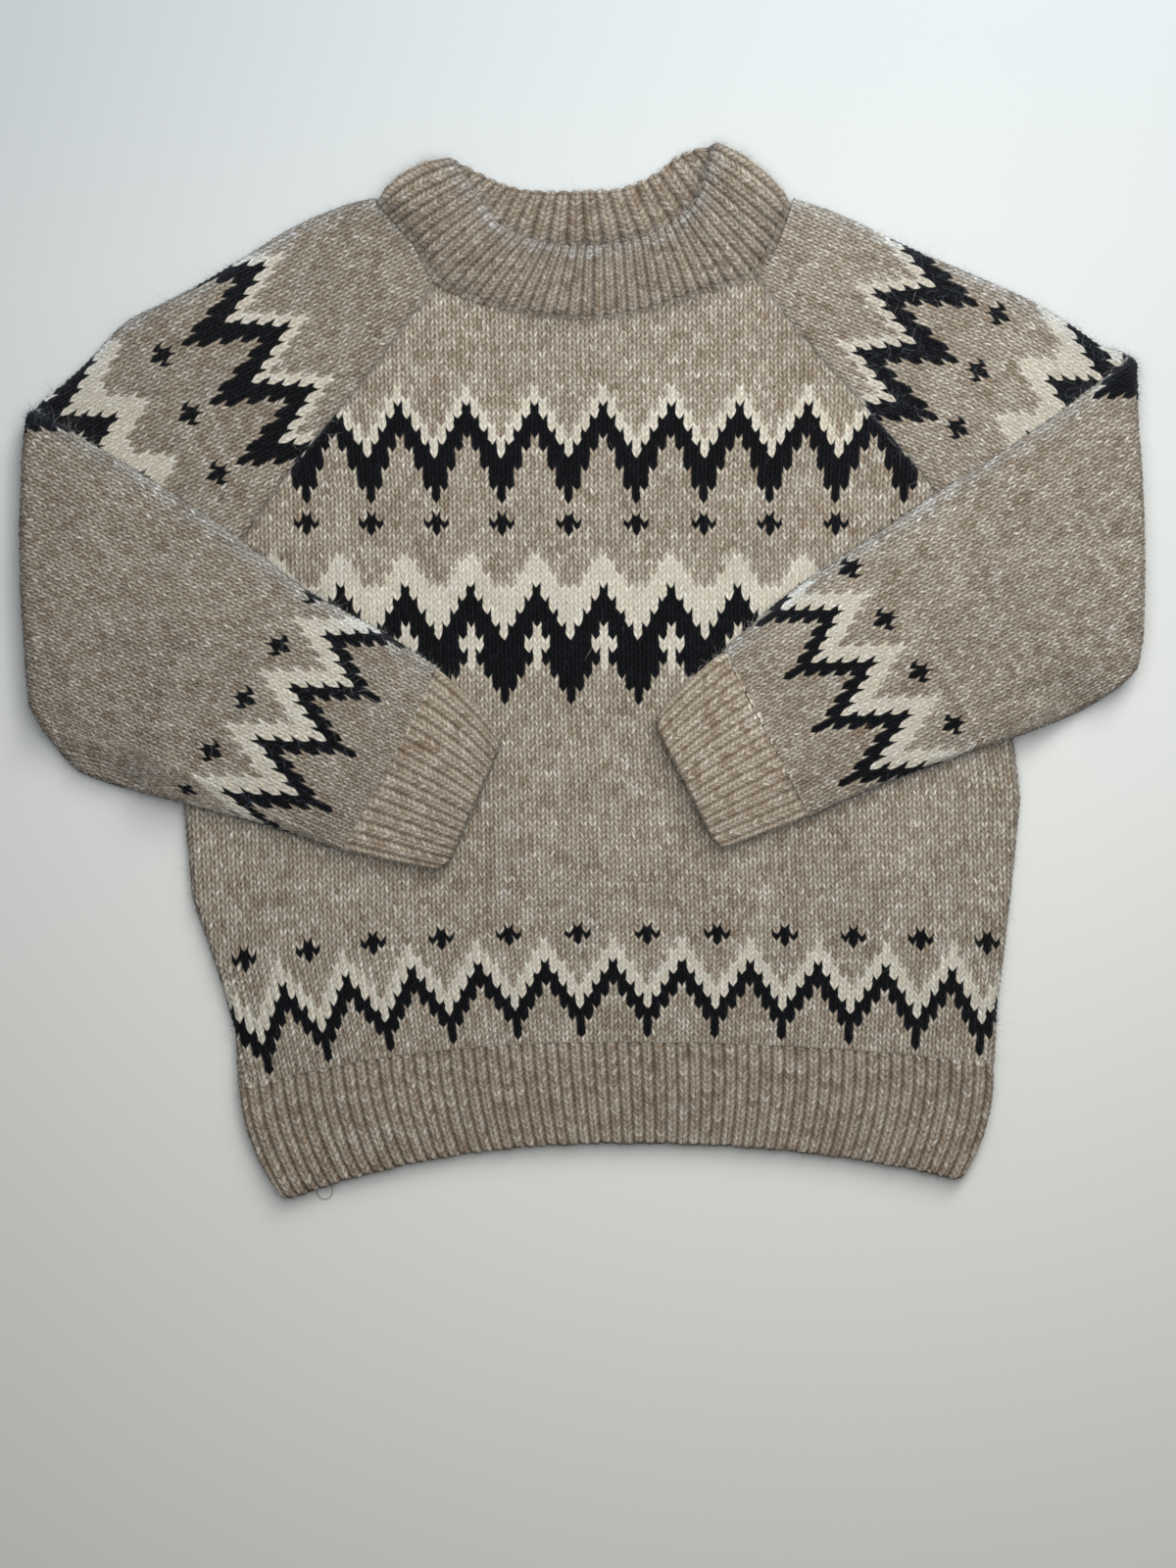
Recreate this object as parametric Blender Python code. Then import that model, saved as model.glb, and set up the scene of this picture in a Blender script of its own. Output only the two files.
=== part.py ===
"""A child's fair isle jumper with raglan sleeves, laid on its back with both sleeves folded over the front.

Frame: +Z up, +Y from the hem to the neck, +X towards the wearer's left arm, the floor at z = 0.
Every piece is a wall of cloth between an outer and an inner grid of points.
"""
import bpy
import bmesh
import math
from mathutils import Vector

MM = 0.001
ORIGIN = Vector((-0.2, 0.2, 0.0))     # the middle of the jumper's bounding box, in the tables' millimetres

# ---- driving sizes, in millimetres ------------------------------------------------------------
WALL = 2.6              # thickness of the stocking stitch
LOFT = 6.2              # height of two layers lying on each other, outside to outside
SEAM_GAP = 0.32         # space between two pieces that are sewn or knitted together
RIB_RAISE = 0.45        # how far a rib stands out of its wall, and its furrow sinks in
NECK_RISE = 1.6         # how far the doubled neckband lifts the cloth around it
NECK_CENTRE = (3.0, 211.0)
NECK_RADII = (93.0, 46.0)
NECK_BLEND = 0.75       # how far past the neck that lift dies away, as a share of its radii
WALL_SMOOTH_ANGLE = 50.0
RIB_SMOOTH_ANGLE = 25.0

# the front's and the back's sides, a row for each level:
# name, y at mid width, x of the right side, x of the left side, drop at the right side, drop at the left
BODY_ROWS = (
    ("underarm", 51.6, -162.9, 180.6, 0.0, 0.0),
    ("chest", 22.1, -171.5, 189.7, 0.0, 0.0),
    ("ribs", -14.3, -179.7, 198.8, 0.0, 0.0),
    ("waist", -57.6, -184.7, 203.8, 0.0, 0.0),
    ("high hip", -96.2, -180.2, 199.7, 5.5, 0.0),
    ("stars", -120.8, -169.3, 196.6, 14.1, 0.0),
    ("zigzag", -146.3, -160.2, 192.9, 16.4, 2.3),
    ("rib seam", -170.4, -158.8, 191.6, 16.8, 5.5),
)
HEM_ROWS = (
    ("rib seam", -170.4, -158.8, 191.6, 16.8, 5.5),
    ("mid rib", -194.1, -152.9, 188.8, 22.8, 11.4),
    ("bound edge", -217.7, -139.7, 178.4, 27.3, 17.3),
)
HEM_RIBS = 60
HEM_MARGIN = 0.017      # where the ribs start, as a share of the width from each rounded side
PLAIN_SPANS = 16        # spans across the plain hem rib of the back
EDGE_ANGLES = (0.0, 30.0, 60.0, 90.0)
INNER_EASE = 0.4        # how much wider the inner round of a side is than its outer round less the wall
YOKE_STEPS = 6

# the raglan seams and the neck edge, in plan, from the underarm of the right arm round to that of the left
FRONT_RAGLAN_RIGHT = (
    (-161.5, 54.8), (-151.5, 72.1), (-137.9, 91.2), (-121.5, 111.7),
    (-103.3, 133.1), (-85.1, 157.7), (-66.9, 181.3),
)
FRONT_NECK = (
    (-55.5, 176.3), (-38.2, 169.9), (-16.4, 165.8), (5.5, 164.5),
    (27.3, 168.1), (49.1, 174.5), (63.7, 179.5),
)
FRONT_RAGLAN_LEFT = (
    (80.5, 184.5), (96.9, 164.0), (113.8, 144.0), (130.6, 125.8),
    (147.0, 106.7), (163.3, 86.7), (178.8, 57.6),
)
BACK_RAGLAN_RIGHT = (
    (-161.5, 54.8), (-148.0, 81.0), (-134.5, 106.5), (-121.0, 131.5),
    (-108.0, 156.5), (-95.0, 181.0), (-81.9, 205.9),
)
BACK_NECK = (
    (-67.3, 198.6), (-46.9, 193.1), (-21.8, 190.0), (5.5, 189.1),
    (30.5, 191.3), (55.5, 196.3), (76.0, 202.2),
)
BACK_RAGLAN_LEFT = (
    (91.9, 209.5), (106.0, 184.5), (120.5, 159.5), (135.0, 134.0),
    (149.5, 108.5), (164.0, 83.0), (178.8, 57.6),
)

# the sleeves lie unfolded in these tables, as they were knitted, and are folded over at the elbow later.
# Each row is one line across the sleeve: name, its end at the shoulder edge, its end at the underarm edge,
# how far its under half is puffed out, and the steps that lead to it from the row before
SLEEVE_RIGHT = {
    "side": -1,
    "fold_x": -254.3,
    "neck": ((-77.2, 199.8), (-89.0, 213.6)),
    "neck_fold": (-95.4, 221.2),
    "shoulder": ((-110.6, 217.3), (-133.3, 207.7), (-155.2, 194.5), (-176.5, 181.5), (-196.0, 171.4)),
    "rows": (
        ("underarm", (-212.0, 163.1), (-167.6, 50.6), 0.0, 3),
        ("upper arm", (-233.4, 147.2), (-195.5, 27.5), 0.0, 2),
        ("elbow in", (-254.3, 125.5), (-254.3, -12.0), 0.0, 2),
        ("elbow fold", (-264.5, 118.0), (-264.5, -20.0), 0.3, 4),
        ("elbow out", (-274.8, 120.0), (-274.8, -29.0), 0.8, 4),
        ("elbow", (-313.9, 99.3), (-293.4, -49.4), 2.0, 3),
        ("below elbow", (-349.4, 77.1), (-311.4, -56.7), 2.6, 2),
        ("mid forearm", (-375.8, 58.5), (-327.0, -60.8), 2.8, 1),
        ("stars", (-402.6, 38.0), (-347.5, -64.9), 2.8, 1),
        ("zigzag", (-435.8, 19.8), (-386.4, -73.4), 2.6, 2),
        ("cuff seam", (-463.6, 2.0), (-419.9, -81.7), 2.4, 1),
    ),
    "cuff": (
        ("cuff seam", (-463.6, 2.0), (-419.9, -81.7), 2.4),
        ("mid cuff", (-480.8, -14.0), (-443.8, -87.1), 2.2),
        ("cuff edge", (-493.6, -30.3), (-466.3, -91.7), 1.6),
    ),
}
SLEEVE_LEFT = {
    "side": 1,
    "fold_x": 253.9,
    "neck": ((89.4, 198.8), (94.6, 212.0)),
    "neck_fold": (98.0, 220.8),
    "shoulder": ((112.8, 216.2), (130.6, 208.7), (152.0, 198.4), (174.7, 188.6), (205.0, 175.4)),
    "rows": (
        ("underarm", (230.0, 161.5), (185.0, 52.6), 0.0, 3),
        ("upper arm", (243.5, 153.0), (219.9, 27.7), 0.0, 2),
        ("elbow in", (253.9, 144.0), (253.9, 4.0), 0.0, 2),
        ("elbow fold", (264.1, 137.0), (264.1, -4.0), 0.3, 4),
        ("elbow out", (274.3, 138.0), (274.3, -10.0), 0.8, 4),
        ("elbow", (308.0, 118.3), (293.0, -17.9), 2.0, 3),
        ("below elbow", (339.8, 98.3), (312.3, -25.5), 2.6, 2),
        ("mid forearm", (367.1, 81.0), (330.2, -31.9), 2.8, 1),
        ("stars", (396.7, 61.0), (351.9, -40.7), 2.8, 1),
        ("zigzag", (430.8, 37.9), (388.6, -55.0), 2.6, 2),
        ("cuff seam", (463.6, 9.8), (423.1, -65.7), 2.4, 1),
    ),
    "cuff": (
        ("cuff seam", (463.6, 9.8), (423.1, -65.7), 2.4),
        ("mid cuff", (480.9, -5.1), (444.7, -73.9), 2.2),
        ("cuff edge", (495.9, -20.7), (465.0, -81.7), 1.6),
    ),
}
CUFF_RIBS = 12
CUFF_PLAIN_SPANS = 6        # spans across the half of a cuff that lies underneath
POINTS_PER_RIB = 3
SLEEVE_EDGE_ANGLES = (30.0, 90.0, 150.0)
NECK_CORNER_FRONT = 0.62    # where the front raglan seam meets the neck, as a share of the sleeve's width
NECK_CORNER_BACK = 0.87
NECK_SHARES = (0.4, 0.8)    # the points of the sleeve's neck edge, between there and the shoulder edge
FOLD_AXIS_Z = 6.5                       # the elbow folds about this height
FOLD_LENGTH = math.pi * FOLD_AXIS_Z     # cloth that goes round the fold
SAG_DROP = 6.1                          # how far a forearm sinks where no cloth is under it
SAG_START = 8.0                         # how far out it bridges before it begins to sink
SAG_RUN = 24.0                          # the distance over which it sinks

# the neckband, a row for each place round it: name, where it meets the neck edge, its folded top edge,
# both with their height, how far it is filled out between them, and the ribs from this row to the next
BAND_HALF = 2.2         # half the thickness of the doubled rib
BAND_RIB_RAISE = 0.45
FLOOR_GAP = 0.05        # least height of the band's underside
FLOOR_TILT = (0.75, 0.95)       # how squarely a face looks down where its ribs begin to fade, and are gone
# across the doubled rib: share of its height, and of a rib's height there
BAND_PROFILE = ((0.0, 0.0), (0.3, 1.0), (0.7, 1.0), (1.0, 0.6))
CREST_RIB = 0.5         # how much of a rib's height shows on the folded edge
NECKBAND = (
    ("front centre", (5.5, 164.9, 6.1), (6.0, 197.6, 9.6), 0.7, 4),
    ("front 1", (31.0, 169.3, 6.2), (26.5, 200.6, 9.8), 0.7, 3),
    ("front 2", (55.5, 177.4, 6.5), (41.5, 208.0, 10.3), 0.9, 3),
    ("left raglan", (79.6, 185.6, 7.0), (51.5, 217.0, 11.4), 1.4, 3),
    ("left shoulder front", (88.4, 199.2, 7.8), (56.2, 226.5, 13.0), 2.0, 2),
    ("left ear front", (93.2, 211.6, 8.8), (58.8, 236.6, 14.0), 3.4, 1),
    ("left ear upper", (94.6, 216.4, 8.2), (61.2, 242.6, 12.6), 4.8, 1),
    ("left ear fold", (95.2, 218.8, 5.6), (61.8, 245.4, 8.6), 5.2, 1),
    ("left ear lower", (94.4, 216.4, 3.2), (59.6, 245.2, 4.8), 4.4, 1),
    ("left ear back", (91.6, 209.9, 2.3), (54.6, 243.2, 2.6), 2.0, 1),
    ("left back", (76.0, 202.6, 2.25), (46.5, 239.6, 2.3), 0.0, 2),
    ("back 2", (55.5, 196.8, 2.25), (33.0, 231.0, 2.25), 0.0, 2),
    ("back 1", (30.5, 191.8, 2.25), (18.0, 226.6, 2.25), 0.0, 2),
    ("back centre", (5.5, 189.7, 2.25), (2.0, 225.6, 2.25), 0.0, 2),
    ("back 3", (-21.8, 190.6, 2.25), (-13.5, 225.1, 2.25), 0.0, 2),
    ("back 4", (-46.9, 193.7, 2.25), (-28.0, 226.2, 2.25), 0.0, 2),
    ("right back", (-67.3, 199.2, 2.25), (-39.0, 229.6, 2.3), 0.0, 2),
    ("right ear back", (-84.6, 209.6, 2.3), (-49.0, 234.4, 2.6), 2.0, 2),
    ("right ear lower", (-91.0, 217.0, 3.2), (-56.2, 238.0, 4.6), 5.2, 1),
    ("right ear fold", (-92.8, 219.6, 5.6), (-59.8, 238.8, 8.2), 6.4, 1),
    ("right ear upper", (-91.8, 218.0, 8.2), (-58.8, 236.0, 12.0), 5.6, 1),
    ("right ear front", (-88.0, 213.4, 8.7), (-55.4, 230.6, 13.2), 3.6, 1),
    ("right shoulder front", (-76.4, 200.0, 7.6), (-48.0, 219.6, 12.2), 2.0, 2),
    ("right raglan", (-65.8, 182.4, 6.9), (-38.0, 207.2, 10.9), 1.4, 3),
    ("front 3", (-47.0, 173.7, 6.5), (-24.5, 200.8, 10.0), 0.9, 3),
    ("front 4", (-21.8, 167.2, 6.2), (-10.0, 198.0, 9.7), 0.7, 3),
)

COLOURS = {
    "back": (0.40, 0.33, 0.25, 1.0),
    "front": (0.44, 0.36, 0.27, 1.0),
    "rib": (0.36, 0.29, 0.22, 1.0),
    "sleeve": (0.47, 0.40, 0.31, 1.0),
    "neckband": (0.33, 0.27, 0.20, 1.0),
}


# ---- small geometry ---------------------------------------------------------------------------
def mix(a, b, t):
    """The point or number at the share t of the way from a to b."""
    if isinstance(a, (int, float)):
        return a + (b - a) * t
    return tuple(p + (q - p) * t for p, q in zip(a, b))


def smooth_step(t):
    """0 below 0, 1 above 1, with no corner between."""
    t = min(max(t, 0.0), 1.0)
    return t * t * (3.0 - 2.0 * t)


def catmull(a, b, c, d, t):
    """A point at the share t of a smooth curve from b to c, which comes from a and goes on to d."""
    out = []
    for p, q, r, s in zip(a, b, c, d):
        slope = r - p
        square = 2.0 * p - 5.0 * q + 4.0 * r - s
        cube = 3.0 * q - p - 3.0 * r + s
        out.append(q + 0.5 * t * (slope + t * (square + t * cube)))
    return tuple(out)


def smooth_levels(levels, steps):
    """More levels on a smooth curve through those of a table. steps holds how many lead to each."""
    out = [levels[0]]
    for k in range(1, len(levels)):
        a, b, c = levels[max(k - 2, 0)], levels[k - 1], levels[k]
        d = levels[min(k + 1, len(levels) - 1)]
        out += [catmull(a, b, c, d, step / steps[k]) for step in range(1, steps[k] + 1)]
    return out


def unit(a, b):
    """The direction in plan from a to b."""
    length = math.dist(a, b)
    return ((b[0] - a[0]) / length, (b[1] - a[1]) / length)


def moved(point, direction, distance):
    """A point in plan, moved along a direction."""
    return (point[0] + direction[0] * distance, point[1] + direction[1] * distance)


def segment_distance(point, a, b):
    """How far a point in plan lies from the segment a-b."""
    run = (b[0] - a[0], b[1] - a[1])
    square = run[0] ** 2 + run[1] ** 2
    along = ((point[0] - a[0]) * run[0] + (point[1] - a[1]) * run[1]) / square
    along = min(max(along, 0.0), 1.0)
    return math.dist(point, (a[0] + run[0] * along, a[1] + run[1] * along))


def outside_distance(point, outline):
    """How far a point in plan lies outside a closed outline, and 0 inside it."""
    inside = False
    nearest = math.inf
    for a, b in zip(outline, outline[1:] + outline[:1]):
        nearest = min(nearest, segment_distance(point, a, b))
        if (a[1] > point[1]) != (b[1] > point[1]):
            crossing = a[0] + (point[1] - a[1]) * (b[0] - a[0]) / (b[1] - a[1])
            inside = inside != (point[0] < crossing)
    return 0.0 if inside else nearest


def inset(points, distance):
    """An open line in plan, moved to its right-hand side, as a seam allowance is."""
    out = []
    for k, point in enumerate(points):
        before = points[max(k - 1, 0)]
        after = points[min(k + 1, len(points) - 1)]
        run = unit(before, after)
        out.append(moved(point, (run[1], -run[0]), distance))
    return out


def upper_face(x, y):
    """Height of the garment's upper face: two layers, lifted near the neckband."""
    reach = math.hypot((x - NECK_CENTRE[0]) / NECK_RADII[0], (y - NECK_CENTRE[1]) / NECK_RADII[1])
    return LOFT + NECK_RISE * smooth_step(1.0 - (reach - 1.0) / NECK_BLEND)


# ---- making a wall ----------------------------------------------------------------------------
def material_for(name, colour):
    """A matt wool material for one piece."""
    material = bpy.data.materials.new(name)
    material.use_nodes = True
    shader = material.node_tree.nodes["Principled BSDF"]
    shader.inputs["Base Color"].default_value = colour
    shader.inputs["Roughness"].default_value = 0.9
    shader.inputs["Metallic"].default_value = 0.0
    material.diffuse_color = colour
    return material


def in_metres(point):
    """A point of the tables in metres, measured from the middle of the bounding box."""
    return (Vector(point) - ORIGIN) * MM


def wall_object(name, outer, inner, ring, colour, collection, smooth_angle=WALL_SMOOTH_ANGLE):
    """One closed wall between two grids of rows of points. A ring's columns close on themselves."""
    bm = bmesh.new()
    skins = []
    for grid in (outer, inner):
        skins.append([[bm.verts.new(in_metres(point)) for point in row] for row in grid])
    outside, inside = skins
    rows = len(outer)
    columns = len(outer[0])
    spans = columns if ring else columns - 1

    def quad(a, b, c, d):
        bm.faces.new((a, b, c, d))

    for i in range(rows - 1):
        for k in range(spans):
            n = (k + 1) % columns
            quad(outside[i][k], outside[i][n], outside[i + 1][n], outside[i + 1][k])
            quad(inside[i][k], inside[i + 1][k], inside[i + 1][n], inside[i][n])
    for k in range(spans):
        n = (k + 1) % columns
        quad(outside[0][n], outside[0][k], inside[0][k], inside[0][n])
        quad(outside[-1][k], outside[-1][n], inside[-1][n], inside[-1][k])
    if not ring:
        for i in range(rows - 1):
            quad(outside[i][0], outside[i + 1][0], inside[i + 1][0], inside[i][0])
            quad(outside[i + 1][-1], outside[i][-1], inside[i][-1], inside[i + 1][-1])
    return finished(name, bm, colour, collection, smooth_angle)


def finished(name, bm, colour, collection, smooth_angle):
    """Turns a mesh under construction into a named object with its wool."""
    bmesh.ops.triangulate(bm, faces=bm.faces[:])
    bmesh.ops.recalc_face_normals(bm, faces=bm.faces[:])
    mesh = bpy.data.meshes.new(name)
    bm.to_mesh(mesh)
    bm.free()
    mesh.materials.append(material_for(name + "_wool", COLOURS[colour]))
    mesh.shade_smooth()
    mesh.set_sharp_from_angle(angle=math.radians(smooth_angle))
    piece = bpy.data.objects.new(name, mesh)
    collection.objects.link(piece)
    return piece


# ---- front, back and their hem ribs -----------------------------------------------------------
def body_point(level, share, shift=0.0):
    """A point on a level of the body: share runs from 0 at the right side to 1 at the left side."""
    y_mid, x_right, x_left, drop_right, drop_left = level
    y = y_mid + shift
    if share < 0.5:
        y -= drop_right * ((0.5 - share) / 0.5) ** 3
    else:
        y -= drop_left * ((share - 0.5) / 0.5) ** 3
    return (mix(x_right, x_left, share), y)


def body_columns(inner_shares):
    """Columns across a panel: each is a share of the width and, at the rounded sides, an angle there."""
    columns = [("right", angle) for angle in EDGE_ANGLES]
    columns += [("flat", share) for share in inner_shares]
    columns += [("left", angle) for angle in reversed(EDGE_ANGLES)]
    return columns


def panel_point(level, column, upper, shift=0.0, raised=0.0):
    """The outer and inner point of a panel at a level and column. The sides are rounded to mid height."""
    kind, value = column
    radius = LOFT / 2.0
    half_gap = SEAM_GAP / 2.0
    if kind == "flat":
        x, y = body_point(level, value, shift)
        top = upper_face(x, y)
        outer = (x, y, top + raised)
        inner = (x, y, top - WALL)
    else:
        width = level[2] - level[1]
        angle = math.radians(value)
        outer_in = radius * (1.0 - math.cos(angle)) / width
        inner_in = (WALL + (radius - WALL + INNER_EASE) * (1.0 - math.cos(angle))) / width
        if kind == "left":
            outer_in, inner_in = 1.0 - outer_in, 1.0 - inner_in
        x, y = body_point(level, outer_in, shift)
        outer = (x, y, radius + half_gap + (radius - half_gap) * math.sin(angle))
        x, y = body_point(level, inner_in, shift)
        inner = (x, y, radius + half_gap + (radius - WALL - half_gap) * math.sin(angle))
    if upper:
        return outer, inner
    return (outer[0], outer[1], max(LOFT - outer[2], 0.0)), (inner[0], inner[1], LOFT - inner[2])


def lower_flat(point):
    """A point of the back: its outer face lies on the floor and its inner face one wall above."""
    return (point[0], point[1], 0.0), (point[0], point[1], WALL)


def panel_rows(levels, columns, upper, shifts, ridges=None):
    """The outer and inner rows of points of a panel, from its lowest level up."""
    outer, inner = [], []
    for level, shift in zip(reversed(levels), reversed(shifts)):
        pairs = []
        for number, column in enumerate(columns):
            pair = panel_point(level, column, upper, shift, ridges[number] if ridges else 0.0)
            pairs.append(pair if upper or column[0] != "flat" else lower_flat(pair[0]))
        outer.append([pair[0] for pair in pairs])
        inner.append([pair[1] for pair in pairs])
    return outer, inner


def body_panel(name, top_edge, upper, collection):
    """The front or the back: levels up from the rib seam to the underarm, then the raglans and the neck."""
    levels = smooth_levels([row[1:] for row in BODY_ROWS], [2] * len(BODY_ROWS))
    chest = levels[0]
    span = chest[2] - chest[1]
    columns = body_columns([(point[0] - chest[1]) / span for point in top_edge[1:-1]])
    shifts = [0.0] * (len(levels) - 1) + [SEAM_GAP / 2.0]
    outer, inner = panel_rows(levels, columns, upper, shifts)
    seam = inset(top_edge, SEAM_GAP / 2.0)
    chest_outer, chest_inner = outer[-1], inner[-1]
    for step in range(1, YOKE_STEPS + 1):
        share = step / YOKE_STEPS
        outer.append(yoke_row(chest_outer, seam, share, upper, False))
        inner.append(yoke_row(chest_inner, seam, share, upper, True))
    return wall_object(name, outer, inner, False, "front" if upper else "back", collection)


def yoke_row(start, seam, share, upper, inside):
    """A row of the yoke between the underarm level and the seam, on the outer or the inner face.

    At each end of it the columns of the rounded side go on up to the armpit and keep their height.
    """
    radius = LOFT / 2.0
    depths = [radius * (1.0 - math.cos(math.radians(angle))) for angle in EDGE_ANGLES]
    if inside:
        depths = [WALL + depth * (radius - WALL + INNER_EASE) / radius for depth in depths]
    ends = [moved(seam[0], unit(seam[0], seam[1]), depth) for depth in depths]
    ends += seam[1:-1]
    ends += [moved(seam[-1], unit(seam[-1], seam[-2]), depth) for depth in reversed(depths)]
    row = []
    for number, (point, end) in enumerate(zip(start, ends)):
        x, y = mix(point[:2], end, share)
        z = point[2]
        if len(depths) <= number < len(ends) - len(depths):
            z = mix(z, face_height(x, y, upper, inside), smooth_step(share * 2.0))
        row.append((x, y, z))
    return row


def face_height(x, y, upper, inside):
    """Height of the outer or inner face of the front, or of the back, which lies on the floor."""
    if upper:
        return upper_face(x, y) - (WALL if inside else 0.0)
    return WALL if inside else 0.0


def rib_wave(position):
    """Height of a 1x1 rib at a position counted in ribs: a ridge with a furrow on each side."""
    return math.cos(2.0 * math.pi * position)


def hem_rib(name, upper, collection):
    """The ribbed hem of the front or of the back. Its ridges stand up on the side that shows."""
    count = HEM_RIBS * POINTS_PER_RIB if upper else PLAIN_SPANS
    columns = body_columns([mix(HEM_MARGIN, 1.0 - HEM_MARGIN, k / count) for k in range(count + 1)])
    ridges = None
    if upper:
        flat = [0.0] * len(EDGE_ANGLES)
        ridges = flat + [RIB_RAISE * rib_wave(k / POINTS_PER_RIB) for k in range(count + 1)] + flat
    levels = [row[1:] for row in HEM_ROWS]
    shifts = [-SEAM_GAP / 2.0] + [0.0] * (len(levels) - 1)
    outer, inner = panel_rows(levels, columns, upper, shifts, ridges)
    return wall_object(name, outer, inner, False, "rib", collection, RIB_SMOOTH_ANGLE)


# ---- sleeves and cuffs ------------------------------------------------------------------------
def fold_over(point, sleeve, ground):
    """Folds a point of the flat sleeve over at the elbow. The forearm sags where nothing is under it."""
    x, y, z = point
    side = sleeve["side"]
    beyond = (x - sleeve["fold_x"]) * side
    if beyond <= 0.0:
        return (x, y, z)
    radius = FOLD_AXIS_Z - z
    turn = min(beyond / FOLD_LENGTH, 1.0) * math.pi
    x_new = sleeve["fold_x"] + side * radius * math.sin(turn)
    z_new = FOLD_AXIS_Z - radius * math.cos(turn)
    if beyond > FOLD_LENGTH:
        x_new -= side * (beyond - FOLD_LENGTH)
    free = min(outside_distance((x_new, y), outline) for outline in ground)
    turned = (1.0 - math.cos(turn)) / 2.0
    z_new -= SAG_DROP * smooth_step((free - SAG_START) / SAG_RUN) * turned * turned
    return (x_new, y, z_new)


def across_ring(outer, inner, plan, z_outer, z_inner):
    """Adds one pair of points to a ring."""
    outer.append((plan[0], plan[1], z_outer))
    inner.append((plan[0], plan[1], z_inner))


def side_fold(outer, inner, tip, outward, rising):
    """Adds the points round a side fold, whose outermost point in plan is tip."""
    radius = upper_face(*tip) / 2.0
    inner_radius = radius - WALL
    centre = moved(tip, outward, -radius)
    for angle in (reversed(SLEEVE_EDGE_ANGLES) if rising else SLEEVE_EDGE_ANGLES):
        turn = math.radians(angle)
        plan = moved(centre, outward, radius * math.sin(turn))
        outer.append((plan[0], plan[1], radius + radius * math.cos(turn)))
        plan = moved(centre, outward, inner_radius * math.sin(turn))
        inner.append((plan[0], plan[1], radius + inner_radius * math.cos(turn)))


def section(level, front_shares, back_shares, ridges=None):
    """A ring round the flat sleeve at one level: shoulder edge x, y, underarm edge x, y, and puff.

    It runs up the front half from the underarm edge, round the shoulder edge, and back down the under half.
    """
    shoulder, under, puff = level[0:2], level[2:4], level[4]
    across = unit(under, shoulder)
    width = math.dist(under, shoulder)
    margin = LOFT / 2.0
    outer, inner = [], []
    for share in front_shares:
        plan = moved(under, across, mix(margin, width - margin, share))
        across_ring(outer, inner, plan, upper_face(*plan), upper_face(*plan) - WALL)
    side_fold(outer, inner, shoulder, across, False)
    for number, share in enumerate(back_shares):
        plan = moved(under, across, mix(margin, width - margin, share))
        swell = -puff * (1.0 - (2.0 * share - 1.0) ** 2)
        raised = ridges[number] if ridges else 0.0
        across_ring(outer, inner, plan, swell - raised, swell + WALL)
    side_fold(outer, inner, under, (-across[0], -across[1]), True)
    return outer, inner


def first_ring(sleeve, front_edge, back_edge):
    """The sleeve's first ring: up the front raglan seam, along the neck, and down the back raglan seam."""
    outer, inner = [], []
    radius = LOFT / 2.0
    armpit = front_edge[0]
    front_start = moved(armpit, unit(armpit, front_edge[1]), radius)
    back_end = moved(armpit, unit(back_edge[-1], back_edge[-2]), radius)
    for plan in [front_start] + front_edge[1:] + list(sleeve["neck"]):
        across_ring(outer, inner, plan, upper_face(*plan), upper_face(*plan) - WALL)
    side_fold(outer, inner, sleeve["neck_fold"], unit(sleeve["neck"][-1], sleeve["neck_fold"]), False)
    for plan in back_edge[:-1] + [back_end]:
        across_ring(outer, inner, plan, 0.0, WALL)
    side_fold(outer, inner, armpit, unit(front_edge[1], armpit), True)
    return outer, inner


def yoke_rings(sleeve, first, common, front_count, back_count):
    """Rings between the raglan seams and the underarm, bowed out to the shoulder's outline."""
    start, finish = sleeve["neck_fold"], sleeve["rows"][0][1]
    steps = len(sleeve["shoulder"]) + 1
    weights = [(k / front_count) ** 2 for k in range(front_count)] + [1.0] * len(SLEEVE_EDGE_ANGLES)
    weights += [(1.0 - k / back_count) ** 2 for k in range(back_count)] + [0.0] * len(SLEEVE_EDGE_ANGLES)
    rings = []
    for step, outline in enumerate(sleeve["shoulder"], 1):
        share = step / steps
        straight = mix(start, finish, share)
        bow = (outline[0] - straight[0], outline[1] - straight[1])
        ring = []
        for near, far in zip(first, common):
            points = []
            for a, b, weight in zip(near, far, weights):
                x, y, z = mix(a, b, share)
                points.append((x + bow[0] * weight, y + bow[1] * weight, z))
            ring.append(points)
        rings.append(ring)
    return rings


def sleeve_body(name, sleeve, front_edge, back_edge, ground, collection):
    """A raglan sleeve: from the raglan seams to the underarm, then on to the cuff, folded at the elbow."""
    last = len(front_edge) - 1
    front_shares = [mix(0.0, NECK_CORNER_FRONT, k / last) for k in range(last + 1)]
    front_shares += [mix(NECK_CORNER_FRONT, 1.0, share) for share in NECK_SHARES]
    back_shares = [mix(NECK_CORNER_BACK, 0.0, k / last) for k in range(last + 1)]
    rows = sleeve["rows"]
    levels = smooth_levels([row[1] + row[2] + (row[3],) for row in rows], [row[4] for row in rows])
    common = section(levels[0], front_shares, back_shares)
    first = first_ring(sleeve, front_edge, back_edge)
    rings = [first] + yoke_rings(sleeve, first, common, len(front_shares), len(back_shares)) + [common]
    rings += [section(level, front_shares, back_shares) for level in levels[1:]]
    outer = [[fold_over(point, sleeve, ground) for point in ring[0]] for ring in rings]
    inner = [[fold_over(point, sleeve, ground) for point in ring[1]] for ring in rings]
    return wall_object(name, outer, inner, True, "sleeve", collection)


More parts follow.
